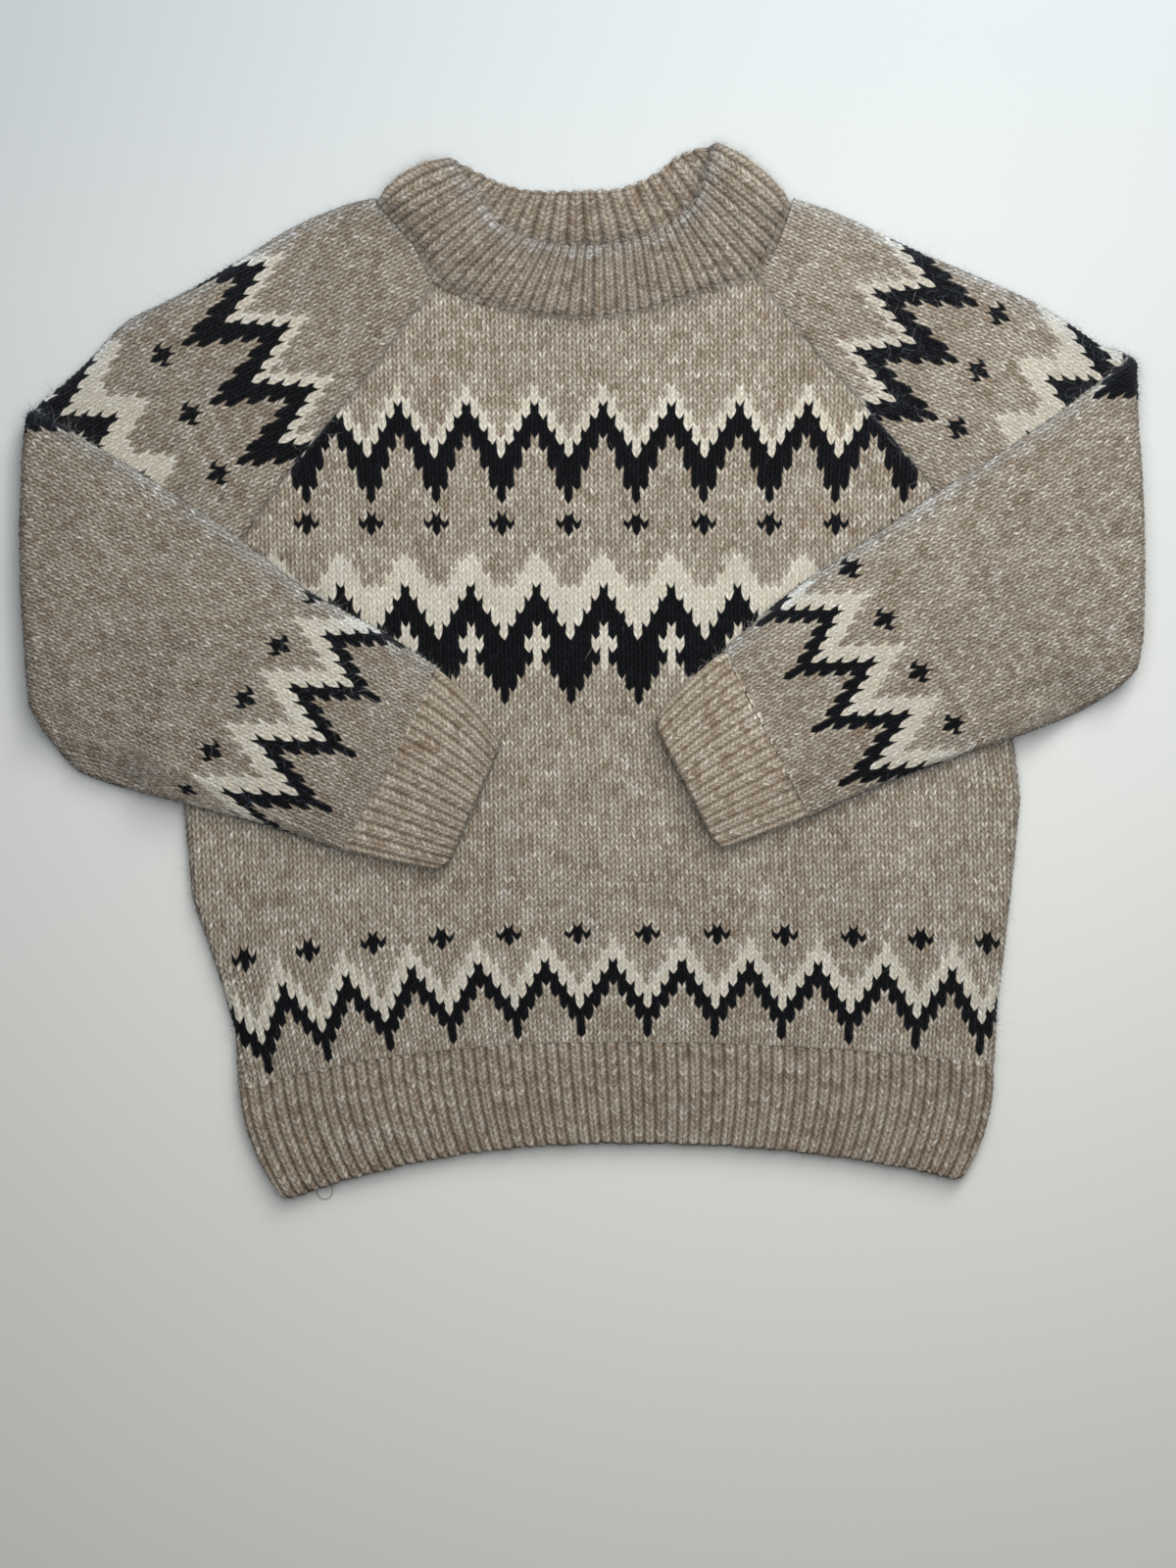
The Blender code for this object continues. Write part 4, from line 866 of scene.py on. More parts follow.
HEM_PAINTED_SHADE = 0.79             # painted shade: the hem's yarn is darkened for its shaded furrows, which the pulled-in rib shows more of, and for the dimmer light low down


def through_levels(levels, share):
    """A table's numbers at a share of the way down it, on the smooth curve through its three lines."""
    a, b, c = (np.array(level)[:, None, None] for level in levels)
    t = share[None]
    return a * (2.0 * (t - 0.5) * (t - 1.0)) + b * (4.0 * t * (1.0 - t)) + c * (2.0 * t * (t - 0.5))


def rib_form(column, row, rng):
    """For corners counted in sixths of a rib and halves of a row: hang in rows, and height 0 to 1."""
    phase = column % 6
    middle = row % 2
    hang = np.array(RIB_HANGS)[phase] - 0.5
    loops = np.where(middle == 1, 1.0, 0.80)
    height = np.array(RIB_HEIGHTS)[phase] * loops
    height = height * (1.0 + 0.10 * rng.standard_normal(column.shape) * (phase > 0))
    return hang, np.clip(height, 0.0, 1.15)


def wall_profile(rows):
    """Down the outer face, round the lip, up the inner face and back: share down it, depth into the wall,
    and how much of the stitch shows there. The lip's share is added in millimetres."""
    share = [TUCK] + list(np.linspace(0.0, 1.0, rows * 2 + 1))
    lip = [0.0] * len(share)
    depth, show = [0.0] * len(share), [1.0] * len(share)
    depth[0], show[0] = 0.9, 0.4
    for angle in (50.0, 90.0, 130.0):
        share.append(1.0)
        lip.append(WALL / 2.0 * math.sin(math.radians(angle)))
        depth.append(WALL / 2.0 * (1.0 - math.cos(math.radians(angle))))
        show.append(0.6)
    for step in range(LINING_ROWS + 1):
        share.append(1.0 - step / LINING_ROWS)
        lip.append(0.0)
        depth.append(WALL)
        show.append(0.15)
    return [np.array(values)[:, None] for values in (share, lip, depth, show)]


def wall_lattice(profile, rows, columns, rng):
    """A wall's corners: column, row, whether on the outer face, height, and how far down they lie."""
    share, _, _, show = profile
    column, row = np.meshgrid(np.arange(columns), np.arange(len(share)))
    hang, height = rib_form(column, row - 1, rng)
    face = show > 0.5
    loose = np.clip(24.0 * share * (1.0 - share), 0.0, 1.0)
    down = np.clip(share + hang * loose / rows, TUCK, 1.0)
    return column, row, face, height * np.where(face, 1.0, 0.4), down


def drawn_back(across, start, rest, share):
    """How far an open edge draws back towards its two folds."""
    corner = np.clip((np.abs(2.0 * across - 1.0) - start) / rest, 0.0, 1.0)
    return CORNER_ROUND * (1.0 - np.sqrt(1.0 - corner ** 2)) * share ** 3


def rib_colours(row, rows, spans, rng):
    """The ground's colour for each facet of a ribbing, by its rib, row and leg."""
    across = np.arange(spans)[None, :]
    rib, line, leg = (np.broadcast_to(value, (rows, spans)) for value in (
        across // 6, row[:rows, :1] // 2, (across % 6 >= 3).astype(int)))
    return yarn_colours(rib, line, leg, rib * 0, rng)


def rib_patch(points, column, row, height, show, closed, rng, tone):
    """A patch of ribbing from its grid of points: its colours, painted shades and quads, closed down its
    profile.
    """
    quads = grid_faces(points.shape[0], points.shape[1], closed=closed)
    grid = np.arange(points.shape[0] * points.shape[1]).reshape(points.shape[:2])
    if closed:
        last_row = np.stack((grid[-1], np.roll(grid[-1], -1), np.roll(grid[0], -1), grid[0]), axis=-1)
        spans = points.shape[1]
    else:
        last_row = np.stack((grid[-1, :-1], grid[-1, 1:], grid[0, 1:], grid[0, :-1]), axis=-1)
        spans = points.shape[1] - 1
    quads = np.concatenate((quads, last_row))
    colours = rib_colours(row, points.shape[0], spans, rng)
    colours[..., :3] *= tone
    # painted shade: darker in the furrows, and on the lip and the inner face where little of the stitch
    # shows
    shade = (0.60 + 0.44 * np.clip(height, 0.0, 1.0)) * (0.55 + 0.45 * show)
    shade = shade * mottled(points[..., 0], points[..., 1])
    return as_patch(points, quads, colours, shade, column / 6.0, row / 2.0)


def hem_patch(upper, seed):
    """The front's or the back's hem: a wall with an outer face, a lip and an inner face."""
    rng = np.random.default_rng(seed)
    profile = wall_profile(RIB_ROWS)
    share, lip, depth, show = profile
    column, row, face, height, down = wall_lattice(profile, RIB_ROWS, HEM_RIBS * 6 + 1, rng)
    y_mid, right, left, drop_right, drop_left = through_levels(HEM_LEVELS, down)
    radius = SIDE_RADIUS
    # across: along the arc of the right side, the flat, and the arc of the left side
    arc = radius * math.pi / 2.0
    span = left - right - 2.0 * radius
    s = column / (HEM_RIBS * 6.0) * (span + 2.0 * arc)
    x_flat = right + radius + s - arc
    turn_right = np.clip((arc - s) / radius, 0.0, math.pi / 2.0)
    turn_left = np.clip((s - arc - span) / radius, 0.0, math.pi / 2.0)
    relief = RIB_RELIEF * (height - 0.5) * show * np.where(face, smooth_step(share / 0.06), 1.0)
    if not upper:
        relief = relief - RIB_RELIEF * 0.5
    stand = radius - depth + relief * np.where(face, 1.0, -0.3)
    turn = turn_right + turn_left
    x = np.where(turn_right > 0.0, right + radius - stand * np.sin(turn_right), x_flat)
    x = np.where(turn_left > 0.0, left - radius + stand * np.sin(turn_left), x)
    x = x + 0.08 * rng.standard_normal(x.shape)
    level = np.clip((x - right) / (left - right), 0.0, 1.0)
    y = fallen(y_mid, level, drop_right, drop_left) + drawn_back(level, *HEM_CORNER, share)
    # the lip stands out from the edge, a little further at each rib
    edge = (row >= RIB_ROWS * 2) & (row <= RIB_ROWS * 2 + 4)
    y = y - lip + WALL / 2.0 * (share > 0.99) - edge * (0.5 * np.clip(height, 0.0, 1.0) - 0.2)
    y = y + 0.35 * np.sin(column / 6.0 * 1.7) * np.sin(column / 6.0 * 0.61 + 1.0) * share
    z = radius + stand * np.cos(turn)
    if upper:
        z = uneven(x, y, z)
    else:
        z = np.maximum(LOFT - z, CLEARANCE)
    patch = rib_patch(np.stack((x, y, z), axis=-1), column, row, height, show, False, rng, HEM_PAINTED_SHADE)
    # the two ends are closed with a strip between the faces
    count = len(share)
    grid = np.arange(count * column.shape[1]).reshape(count, -1)
    caps = np.array([(loop[k], loop[k + 1], loop[count - 2 - k], loop[count - 1 - k])
                     for loop in (grid[:, 0], grid[:, -1]) for k in range(count // 2 - 1)])
    patch["quads"] = np.concatenate((patch["quads"], caps))
    tone = np.broadcast_to(np.append(linear(HEATHER_TONES[0]) * 0.6, 1.0), (len(caps), 4))
    patch["colours"] = np.concatenate((patch["colours"].reshape(-1, 4), tone))
    return patch


rib_wool = wool_material("heathered_wool_rib", 0.08, 0.06, (
    (0.0, 0.34), (0.12, 0.66), (0.31, 1.0), (0.5, 0.55), (0.69, 1.0), (0.88, 0.66), (1.0, 0.34)))
hem_front = knitted_piece("front_hem_rib", [hem_patch(True, 31)], rib_wool, "rib_knit", "hem_rib_front")
hem_back = knitted_piece("back_hem_rib", [hem_patch(False, 32)], rib_wool, "rib_knit", "hem_rib_back")

# ---- the cuffs ------------------------------------------------------------------------------------
# The same rib, knitted on at the end of each sleeve. Its ribs run along the arm, and its open end lies
# flat on the front.
CUFF_RELIEF = 0.9
CUFF_RIBS = 16              # on each half of a cuff
CUFF_ROWS = 18
CUFF_TONE = 0.92
CUFF_SHADE_LIFT = 0.30         # how much less painted shade its furrows get than the hem's
CUFF_CORNER = (0.74, 0.26)


def cuff_patch(sleeve, seed):
    """A cuff: a flattened ring of ribbing with an outer and an inner face."""
    rng = np.random.default_rng(seed)
    profile = [values[:-3] for values in wall_profile(CUFF_ROWS)]
    share, lip, depth, show = profile
    column, row, face, height, down = wall_lattice(profile, CUFF_ROWS, CUFF_RIBS * 12, rng)
    levels = [a + b + (puff,) for a, b, puff in sleeve["cuff"]]
    top_x, top_y, low_x, low_y, puff = through_levels(levels, down)
    width = np.hypot(top_x - low_x, top_y - low_y)
    way_x, way_y = (top_x - low_x) / width, (top_y - low_y) / width
    radius = SIDE_RADIUS
    arc = radius * math.pi / 2.0
    span = width - 2.0 * radius
    half = span + 2.0 * arc
    under_half = column >= CUFF_RIBS * 6
    s = np.where(under_half, 2.0 - column / (CUFF_RIBS * 6.0), column / (CUFF_RIBS * 6.0)) * half
    turn_low = np.clip((arc - s) / radius, 0.0, math.pi / 2.0)
    turn_top = np.clip((s - arc - span) / radius, 0.0, math.pi / 2.0)
    begins = smooth_step(share / 0.07)
    stand = radius - depth + CUFF_RELIEF * (height - 0.5) * np.where(face, show * begins, -0.1)
    t = radius + s - arc
    t = np.where(turn_low > 0.0, radius - stand * np.sin(turn_low), t)
    t = np.where(turn_top > 0.0, width - radius + stand * np.sin(turn_top), t)
    # the edge's lip stands out along the arm
    out_x, out_y = way_y * sleeve["side"], -way_x * sleeve["side"]
    reach = (lip - WALL / 2.0 * (share > 0.99)) + 0.3 * rng.standard_normal(column.shape) * (share > 0.96)
    reach = reach - drawn_back(t / width, *CUFF_CORNER, share)
    x = low_x + way_x * t + out_x * reach
    y = low_y + way_y * t + out_y * reach
    swell = puff * (1.0 - (2.0 * np.clip(t / width, 0.0, 1.0) - 1.0) ** 2)
    bend = np.cos(turn_low + turn_top)
    z = np.where(
        under_half, radius - stand * bend - swell * np.where(face, 1.0, 0.8), radius + stand * bend)
    x, y, z = folded(x, y, z, sleeve)
    # the cuff shares its sleeve's painted shade
    patch = rib_patch(np.stack((x, y, z), axis=-1), column, row, height, show, True, rng,
                      CUFF_TONE * sleeve["tone"])
    # the cuff's furrows get less painted shade than the hem's
    patch["shade"] = CUFF_SHADE_LIFT + (1.0 - CUFF_SHADE_LIFT) * patch["shade"]
    return patch


cuff_right = knitted_piece("right_cuff", [cuff_patch(SLEEVE_RIGHT, 33)], rib_wool, "rib_knit", "cuff_right")
cuff_left = knitted_piece("left_cuff", [cuff_patch(SLEEVE_LEFT, 34)], rib_wool, "rib_knit", "cuff_left")

# ---- the neckband ---------------------------------------------------------------------------------
# The same rib again, picked up round the neck, knitted to twice its height, folded in half and sewn down
# inside. Its front stands up off the collarbones and its back lies open behind, with an ear at each side.
BAND_HALF = 2.2
FLOOR_GAP = 0.05
BAND_RIB_RELIEF = 1.3
BAND_ROWS = 14              # rows on each face
NECK_RIBS = 63
FRONT_DENSITY = 1.6         # the front's ribs sit closer than the back's
BAND_TONE = 0.71
CURVE_STEP = 0.025
# where it meets the neck edge, its folded top edge (x, y, height) and its fullness
NECKBAND = (
    ((5.5, 164.9, 6.1), (6.0, 197.6, 9.6), 0.7),
    ((31.0, 169.3, 6.2), (26.5, 200.6, 9.8), 0.7),
    ((55.5, 177.4, 6.5), (41.5, 208.0, 10.3), 0.9),
    ((79.6, 185.6, 7.0), (51.5, 217.0, 11.4), 1.4),
    ((88.4, 199.2, 7.8), (56.2, 226.5, 13.0), 2.0),
    ((93.2, 211.6, 8.8), (58.8, 236.6, 14.0), 3.4),
    ((94.6, 216.4, 8.2), (61.2, 242.6, 12.6), 3.2),
    ((95.2, 218.8, 5.6), (61.8, 245.0, 8.6), 2.8),
    ((94.4, 216.4, 3.2), (59.6, 245.4, 4.8), 2.6),
    ((91.6, 209.9, 2.3), (53.4, 244.6, 2.6), 1.6),
    ((76.0, 202.6, 2.25), (44.5, 241.4, 2.3), 0.0),
    ((55.5, 196.8, 2.25), (33.0, 232.4, 2.25), 0.0),
    ((30.5, 191.8, 2.25), (18.0, 226.6, 2.25), 0.0),
    ((5.5, 189.7, 2.25), (2.0, 225.6, 2.25), 0.0),
    ((-21.8, 190.6, 2.25), (-13.5, 225.1, 2.25), 0.0),
    ((-46.9, 193.7, 2.25), (-28.0, 226.2, 2.25), 0.0),
    ((-67.3, 199.2, 2.25), (-39.0, 229.6, 2.3), 0.0),
    ((-84.6, 209.6, 2.3), (-49.0, 234.4, 2.6), 2.0),
    ((-91.0, 217.0, 3.2), (-56.2, 237.6, 4.6), 3.4),
    ((-92.8, 219.6, 5.6), (-59.8, 238.2, 8.2), 3.8),
    ((-91.8, 218.0, 8.2), (-58.8, 235.6, 12.0), 4.0),
    ((-88.0, 213.4, 8.7), (-55.4, 230.6, 13.2), 3.6),
    ((-76.4, 200.0, 7.6), (-48.0, 219.6, 12.2), 2.0),
    ((-65.8, 182.4, 6.9), (-38.0, 207.2, 10.9), 1.4),
    ((-47.0, 173.7, 6.5), (-24.5, 200.8, 10.0), 0.9),
    ((-21.8, 167.2, 6.2), (-10.0, 198.0, 9.7), 0.7),
)


def band_places():
    """The neckband's places, six to a rib: seam point, top point and fullness."""
    rows = np.array([list(a) + list(b) + [full] for a, b, full in NECKBAND])
    count = len(rows)
    fine = []
    for k in range(count):
        four = [rows[(k + n) % count] for n in (-1, 0, 1, 2)]
        fine += [on_curve(*four, t) for t in np.arange(0.0, 1.0, CURVE_STEP)]
    fine = np.array(fine + fine[:1])
    middle = (fine[:, 0:3] + fine[:, 3:6]) / 2.0
    steps = np.linalg.norm(np.diff(middle, axis=0), axis=1)
    steps = steps * np.where(middle[1:, 2] > 5.0, FRONT_DENSITY, 1.0)
    along = np.concatenate(([0.0], np.cumsum(steps)))
    places = np.arange(NECK_RIBS * 6) / (NECK_RIBS * 6.0) * along[-1]
    return np.stack([np.interp(places, along, fine[:, k]) for k in range(7)], axis=-1)


def unit(ways):
    """Directions at a length of one."""
    return ways / np.linalg.norm(ways, axis=1)[:, None]


def band_patch(seed):
    """The folded band: up its outer face, over the fold and down its inner face, its base tucked in."""
    rng = np.random.default_rng(seed)
    places = band_places()
    total = len(places)
    seam, top, full = places[:, 0:3], places[:, 3:6], places[:, 6]
    ahead, behind = np.roll(places, -4, axis=0), np.roll(places, 4, axis=0)
    along = ahead[:, 0:3] + ahead[:, 3:6] - behind[:, 0:3] - behind[:, 3:6]
    rise = unit(top - seam)
    out = unit(np.cross(along, rise))
    on_floor = smooth_step((-out[:, 2] - 0.75) / 0.2)
    # the profile: share up the band, angle over the fold (0 outer face, 180 inner face), thickness
    profile = [(-0.07, 0.0, 0.9), (0.0, 0.0, 0.62)]
    profile += [(k / (BAND_ROWS * 2.0), 0.0, min(1.0, 0.66 + 0.09 * k)) for k in range(1, BAND_ROWS * 2)]
    profile += [(1.0, angle, 1.0) for angle in (0.0, 36.0, 72.0, 108.0, 144.0, 180.0)]
    profile += [(k / (BAND_ROWS * 2.0), 180.0, 1.0) for k in range(BAND_ROWS * 2 - 1, 0, -1)]
    profile += [(0.0, 180.0, 0.8), (-0.035, 180.0, 0.35)]
    share, angle, thick = (np.array(values)[:, None] for values in zip(*profile))
    column, row = np.meshgrid(np.arange(total), np.arange(len(profile)))
    hang, height = rib_form(column, row, rng)
    angle = np.radians(angle)
    facing = np.cos(angle)
    fade = np.clip(4.0 * share * (1.0 - share) * 4.0, 0.0, 1.0)
    up = share - hang * fade / BAND_ROWS
    base = seam + rise * 0.32
    tip = top - rise * BAND_HALF
    middle = base[None] + (tip - base)[None] * up[..., None]
    middle = middle + (full[None] * 4.0 * share * (1.0 - share))[..., None] * out[None]
    middle[..., 2] = np.maximum(middle[..., 2], BAND_HALF + FLOOR_GAP)
    relief = BAND_RIB_RELIEF * (height - 0.55)
    outer_relief = np.where(facing > 0.0, relief * (1.0 - on_floor[None]) - 0.5 * on_floor[None], relief)
    reach = BAND_HALF * thick + outer_relief * np.where(share < 0.0, 0.3, 1.0)
    ways = out[None] * facing[..., None] + rise[None] * np.sin(angle)[..., None]
    points = middle + ways * reach[..., None]
    points[..., 0:2] += 0.10 * rng.standard_normal(points[..., 0:2].shape)
    points[..., 2] += 0.45 * (facing > -0.5) * np.clip(points[..., 2] / 12.0, 0.0, 1.0)
    points[..., 2] = np.maximum(points[..., 2], CLEARANCE)
    quads = grid_faces(len(profile), total, closed=True)
    colours = rib_colours(row, len(profile) - 1, total, rng)
    # painted sheen on the outer face near the band's fold
    fold_sheen = np.where(facing > -0.5, smooth_step((share - 0.82) / 0.16), 0.0)[:-1, :, None]
    colours[..., :3] *= BAND_TONE * (1.0 + (0.97 * np.array(EDGE_SHEEN_TINT) - 1.0) * fold_sheen)
    # painted shade: darker in the furrows, and at the band's base where it rolls over the seam
    shade = 0.66 + 0.38 * np.clip(height, 0.0, 1.0)
    shade = shade * (0.70 + 0.30 * smooth_step(share / 0.16)) * mottled(points[..., 0], points[..., 1])
    # painted shade: the inner face is darkened low down on the back, under the front's fold, and in the two
    # ears
    deep = smooth_step((5.0 - seam[:, 2]) / 1.5)[None] * (1.0 - smooth_step((share - 0.24) / 0.30))
    ear = smooth_step((full - 2.2) / 1.5)[None]
    shade = shade * np.where(facing < 0.0, 0.92 * (1.0 - 0.55 * deep) * (1.0 - 0.5 * ear), 1.0)
    return as_patch(points, quads, colours, shade, column / 6.0, row / 2.0)


neckband = knitted_piece("folded_neckband", [band_patch(35)], rib_wool, "rib_knit", "neckband")

# ---- the wool's loose fibres ----------------------------------------------------------------------
# Fine curled hairs that stand out of the carded yarn: a thin halo along the folded edges and the neckband's
# fold, and pale hairs strayed over the black. Drawn as flat ribbons a little wider than a real fibre.
FIBRE_LENGTHS = (2.5, 8.0)
FIBRE_WIDTH = 0.075
FIBRE_STEPS = 3
EDGE_FUZZ = 9.0             # how much denser the fibres are on rounded edges
EDGE_HEIGHTS = (0.0045, 0.0072)     # an edge lies below or above these, in metres
BLACK_FUZZ = 2.2            # and how much denser on the black
BLACK_BELOW = 0.12          # the sum of a black yarn's three colour numbers
SHORT_SHARE = 0.75          # most of an edge's fibres are short and thick
SHORT_LENGTH = 0.35
SHORT_WIDTH = 1.8
PALE_FIBRE = "#D8D6D2"


def loose_fibres(name, pieces, count, seed):
    """Ribbons rooted in the pieces' faces that look up or sideways, more on rounded edges and on black."""
    rng = np.random.default_rng(seed)
    found = []
    for piece in pieces:
        mesh = piece.data
        faces = len(mesh.polygons)
        values = {key: np.empty(faces * size) for key, size in (("center", 3), ("normal", 3), ("area", 1))}
        for key, array in values.items():
            mesh.polygons.foreach_get(key, array)
        starts = np.empty(faces, np.int32)
        mesh.polygons.foreach_get("loop_start", starts)
        tint = np.empty(len(mesh.loops) * 4)
        mesh.color_attributes["yarn"].data.foreach_get("color", tint)
        centre, normal = values["center"].reshape(-1, 3), values["normal"].reshape(-1, 3)
        tone = tint.reshape(-1, 4)[starts, :3]
        edge = (normal[:, 2] < 0.25) & (normal[:, 2] > -0.5) & (
            (centre[:, 2] < EDGE_HEIGHTS[0]) | (centre[:, 2] > EDGE_HEIGHTS[1]))
        weight = values["area"] * (normal[:, 2] > -0.5) * np.where(edge, EDGE_FUZZ, 1.0)
        weight = weight * np.where(tone.sum(axis=1) < BLACK_BELOW, BLACK_FUZZ, 1.0)
        found.append((centre, normal, tone, edge, weight))
    centres, normals, tones, edges, weights = (np.concatenate(values) for values in zip(*found))
    pick = rng.choice(len(weights), count, p=weights / weights.sum())
    short = edges[pick] & (rng.random(count) < SHORT_SHARE)
    root, normal, tone = centres[pick], normals[pick], tones[pick]
    root = root + 0.0008 * rng.standard_normal(root.shape) * (1.0, 1.0, 0.2)
    length = rng.uniform(*FIBRE_LENGTHS, count)[:, None] * np.where(short, SHORT_LENGTH, 1.0)[:, None] * MM
    lie = rng.standard_normal((count, 3)) * (1.0, 1.0, 0.25)
    way = unit(normal * rng.uniform(0.1, 0.6, count)[:, None] + unit(lie))
    bend = np.cross(way, (0.0, 0.0, 1.0))
    bend = bend * rng.normal(0.0, 0.7, count)[:, None] - normal * rng.uniform(0.0, 0.3, count)[:, None]
    side = unit(np.cross(way, rng.standard_normal((count, 3)) * 0.35 + (0.0, 0.0, 1.0)))
    points = []
    for step in range(FIBRE_STEPS + 1):
        share = step / FIBRE_STEPS
        middle = root + length * (way * share + bend * share * share)
        half = FIBRE_WIDTH / 2.0 * (1.0 - 0.6 * share) * MM * np.where(short, SHORT_WIDTH, 1.0)[:, None]
        points += [middle - side * half, middle + side * half]
    points = np.stack(points, axis=1)
    points[..., 2] = np.maximum(points[..., 2], 0.0001)
    corners = np.arange(count)[:, None, None] * (FIBRE_STEPS + 1) * 2
    strip = np.array([(2 * k, 2 * k + 1, 2 * k + 3, 2 * k + 2) for k in range(FIBRE_STEPS)])
    quads = (corners + strip[None]).reshape(-1, 4)
    black = tone.sum(axis=1) < BLACK_BELOW
    stray = np.where(black[:, None], linear(BLUE_GREY_FIBRE) * rng.uniform(0.05, 0.7, count)[:, None],
                     linear(PALE_FIBRE) * rng.uniform(0.3, 0.9, count)[:, None])
    own = rng.uniform(0.5, 0.8, count)[:, None] * tone + 0.02 * linear(BLUE_GREY_FIBRE)
    stray = np.where(short[:, None], own, stray)
    tints = np.repeat(np.concatenate((stray, np.ones((count, 1))), axis=1), FIBRE_STEPS * 4, axis=0)
    mesh = filled_mesh(name, points.reshape(-1, 3), quads.ravel(), np.full(len(quads), 4), tints)
    fibres = placed(name, mesh, fibre_wool)
    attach(fibres, "root")
    return fibres


fibre_wool = bpy.data.materials.new("loose_wool_fibres")
fibre_wool.use_nodes = True
fibre_wool.node_tree.nodes.clear()
fibre_tint = node(fibre_wool, "ShaderNodeAttribute", attribute_name="yarn")
fibre_shader = node(fibre_wool, "ShaderNodeBsdfPrincipled", [(fibre_tint.outputs["Color"], "Base Color")],
                    in_Roughness=0.8, in_IOR=1.45)
node(fibre_wool, "ShaderNodeOutputMaterial", [(fibre_shader.outputs["BSDF"], "Surface")])

fibres_body = loose_fibres("loose_fibres_body", (front, back, hem_front, hem_back), 12000, 41)
fibres_arms = loose_fibres(
    "loose_fibres_sleeves", (sleeve_right, sleeve_left, cuff_right, cuff_left), 16500, 42)
fibres_neck = loose_fibres("loose_fibres_neckband", (neckband,), 5000, 43)

# one long hair curls out of the hem's edge onto the table
HAIR_CENTRE = (-119.5, -240.0)
HAIR_RADIUS = 4.0
HAIR_WIDTH = 0.30
HAIR_STEPS = 40
turns = np.radians(np.linspace(60.0, 395.0, HAIR_STEPS))
hair_points = []
for edge in (-0.5, 0.5):
    radius = HAIR_RADIUS * (1.0 + 0.12 * np.sin(turns * 1.7)) + edge * HAIR_WIDTH
    hair_points.append(np.stack((
        HAIR_CENTRE[0] + radius * np.cos(turns), HAIR_CENTRE[1] + radius * np.sin(turns),
        0.5 + 0.4 * np.sin(turns)), axis=-1))
hair_mesh = bpy.data.meshes.new("stray_hair")
hair_mesh.from_pydata(((np.concatenate(hair_points) - ORIGIN) * MM).tolist(), [],
                      [(k, k + 1, k + 1 + HAIR_STEPS, k + HAIR_STEPS) for k in range(HAIR_STEPS - 1)])
hair_wool = bpy.data.materials.new("brown_wool_hair")
hair_wool.use_nodes = True
hair_shader = hair_wool.node_tree.nodes["Principled BSDF"]
hair_shader.inputs["Base Color"].default_value = (*linear("#7A6C5C"), 1.0)
hair_shader.inputs["Roughness"].default_value = 0.7
stray_hair = placed("stray_hair", hair_mesh, hair_wool)
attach(stray_hair, "root")

# ---- the table, the light and the camera ----------------------------------------------------------
# A plain white laminate table top, with painted light falloff: its colour goes from warm near to darker and
# cooler towards the far side.
# It is lit by a large soft window beyond the upper right corner, a weaker light overhead and the pale room.
TABLE_NEAR = (0.63, 0.62, 0.57)
TABLE_PAINTED_FALLOFF = (-0.16, -0.115, -0.06)      # painted light falloff, from the near side to the far one
table_with_painted_falloff = bpy.data.materials.new("matt_white_laminate_painted_falloff")
table_with_painted_falloff.use_nodes = True
paint_place = node(table_with_painted_falloff, "ShaderNodeTexCoord")
paint_parts = node(table_with_painted_falloff, "ShaderNodeSeparateXYZ", [(paint_place.outputs["Object"], "Vector")])
falloff_share = node(table_with_painted_falloff, "ShaderNodeMapRange", [(paint_parts.outputs["Y"], "Value")],
                   in_1=-0.40, in_2=0.30, in_3=0.0, in_4=1.0)
falloff_tone = node(table_with_painted_falloff, "ShaderNodeVectorMath", [(falloff_share.outputs["Result"], 0)],
                  operation="MULTIPLY_ADD", in_1=TABLE_PAINTED_FALLOFF, in_2=TABLE_NEAR)
paint_shader = table_with_painted_falloff.node_tree.nodes["Principled BSDF"]
table_with_painted_falloff.node_tree.links.new(falloff_tone.outputs["Vector"], paint_shader.inputs["Base Color"])
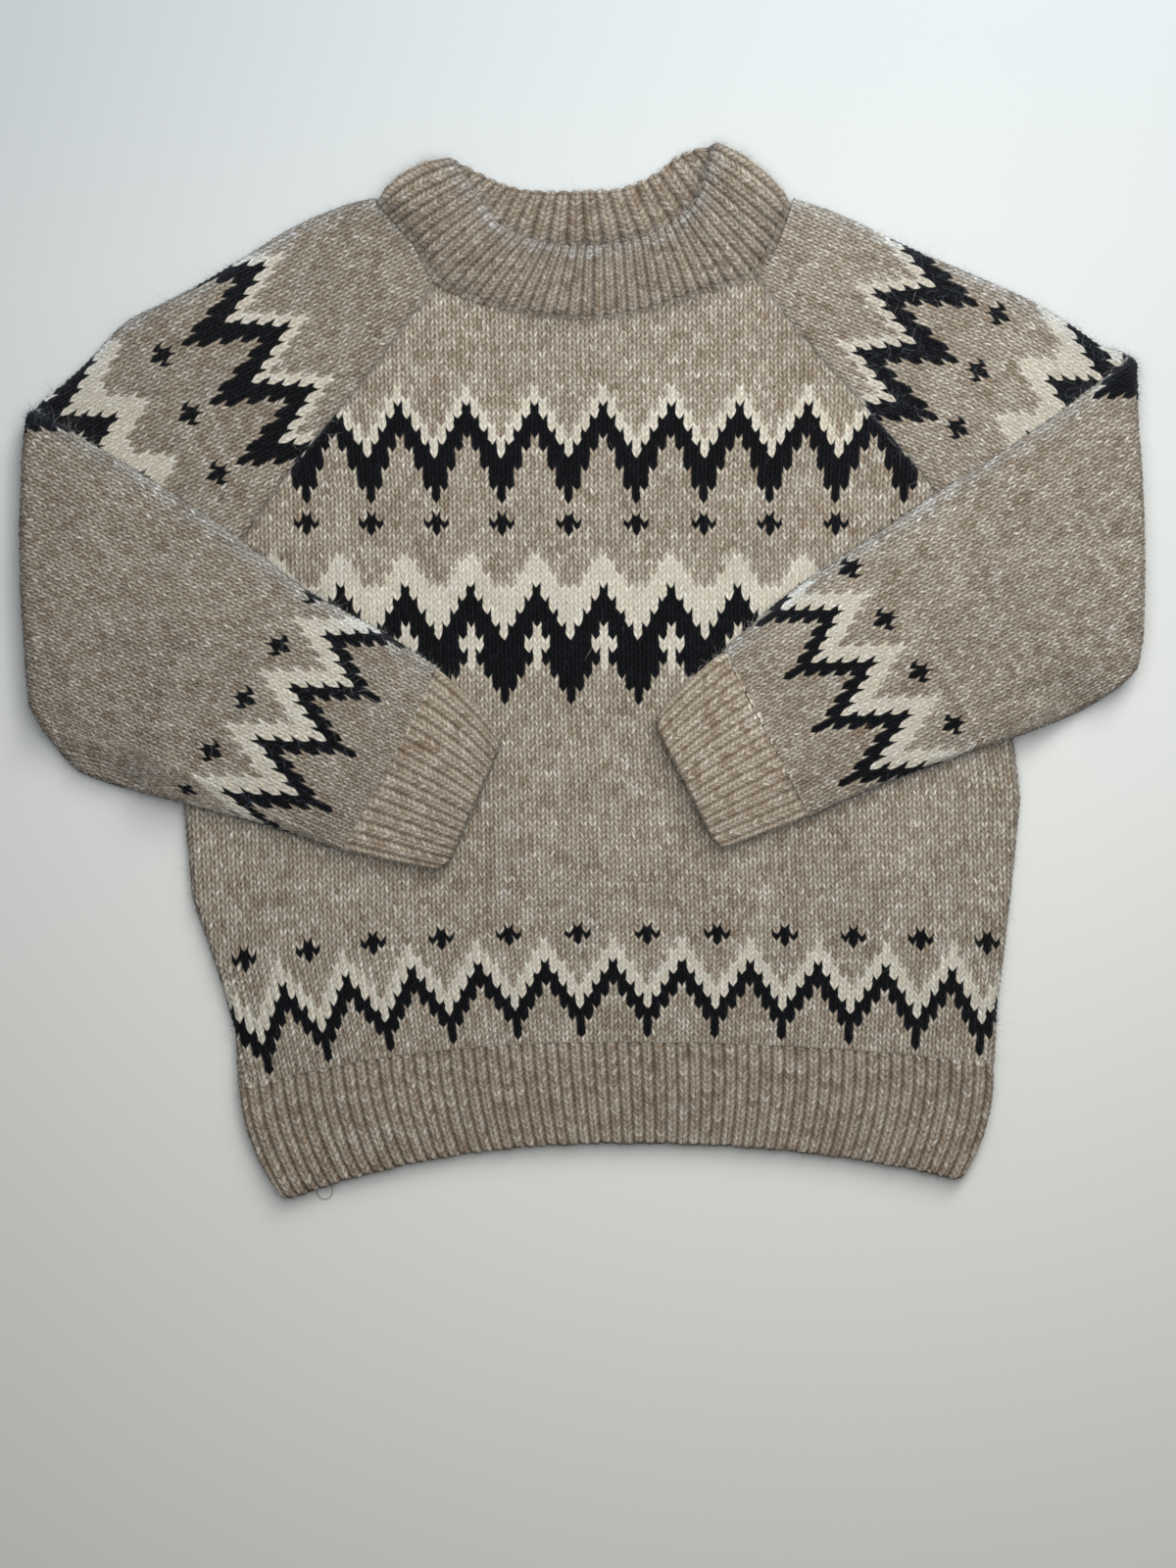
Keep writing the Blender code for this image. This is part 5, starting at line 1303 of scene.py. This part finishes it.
paint_shader.inputs["Roughness"].default_value = 0.6
bpy.ops.mesh.primitive_plane_add(size=8.0, location=(0.0, 0.0, -0.0004))
table_top = bpy.context.object
table_top.name = "table_top"
table_top.data.materials.append(table_with_painted_falloff)

CAMERA_LENS = 50.0
SENSOR_WIDTH = 36.0
VIEW_HEIGHT = 0.728         # how much of the table's length is in view
VIEW_CENTRE = (0.0034, -0.0509, 0.005)
camera_data = bpy.data.cameras.new("camera")
camera_data.lens = CAMERA_LENS
camera_data.sensor_width = SENSOR_WIDTH
camera_data.clip_start = 0.05
camera_data.clip_end = 20.0
camera = bpy.data.objects.new("camera", camera_data)
bpy.context.scene.collection.objects.link(camera)
rise = VIEW_HEIGHT / 2.0 / (SENSOR_WIDTH / 2.0 / CAMERA_LENS)
camera.location = (VIEW_CENTRE[0], VIEW_CENTRE[1], VIEW_CENTRE[2] + rise)
bpy.context.scene.camera = camera

world = bpy.data.worlds.new("pale_room")
world.use_nodes = True
room = world.node_tree.nodes["Background"]
room.inputs["Color"].default_value = (0.84, 0.90, 1.0, 1.0)
room.inputs["Strength"].default_value = 0.29
bpy.context.scene.world = world
bpy.context.scene.view_settings.view_transform = "Standard"


def soft_light(name, place, aim, size, watts, colour):
    """A square area light at a place, turned to a point."""
    data = bpy.data.lights.new(name, "AREA")
    data.shape = "SQUARE"
    data.size = size
    data.energy = watts
    data.color = colour
    lamp = bpy.data.objects.new(name, data)
    lamp.visible_camera = False
    lamp.location = place
    way = np.subtract(aim, place)
    yaw = math.atan2(way[1], way[0]) - math.pi / 2.0
    pitch = math.acos(-way[2] / math.sqrt(float(way @ way)))
    lamp.rotation_euler = (pitch, 0.0, yaw)
    bpy.context.scene.collection.objects.link(lamp)
    return lamp


soft_light("window_light", (0.50, 0.98, 0.78), (0.03, 0.0, 0.0), 0.6, 11.7, (1.0, 0.985, 0.96))
soft_light("overhead_light", (0.08, 0.15, 0.60), (0.08, 0.16, 0.0), 0.6, 4.1, (1.0, 0.99, 0.97))
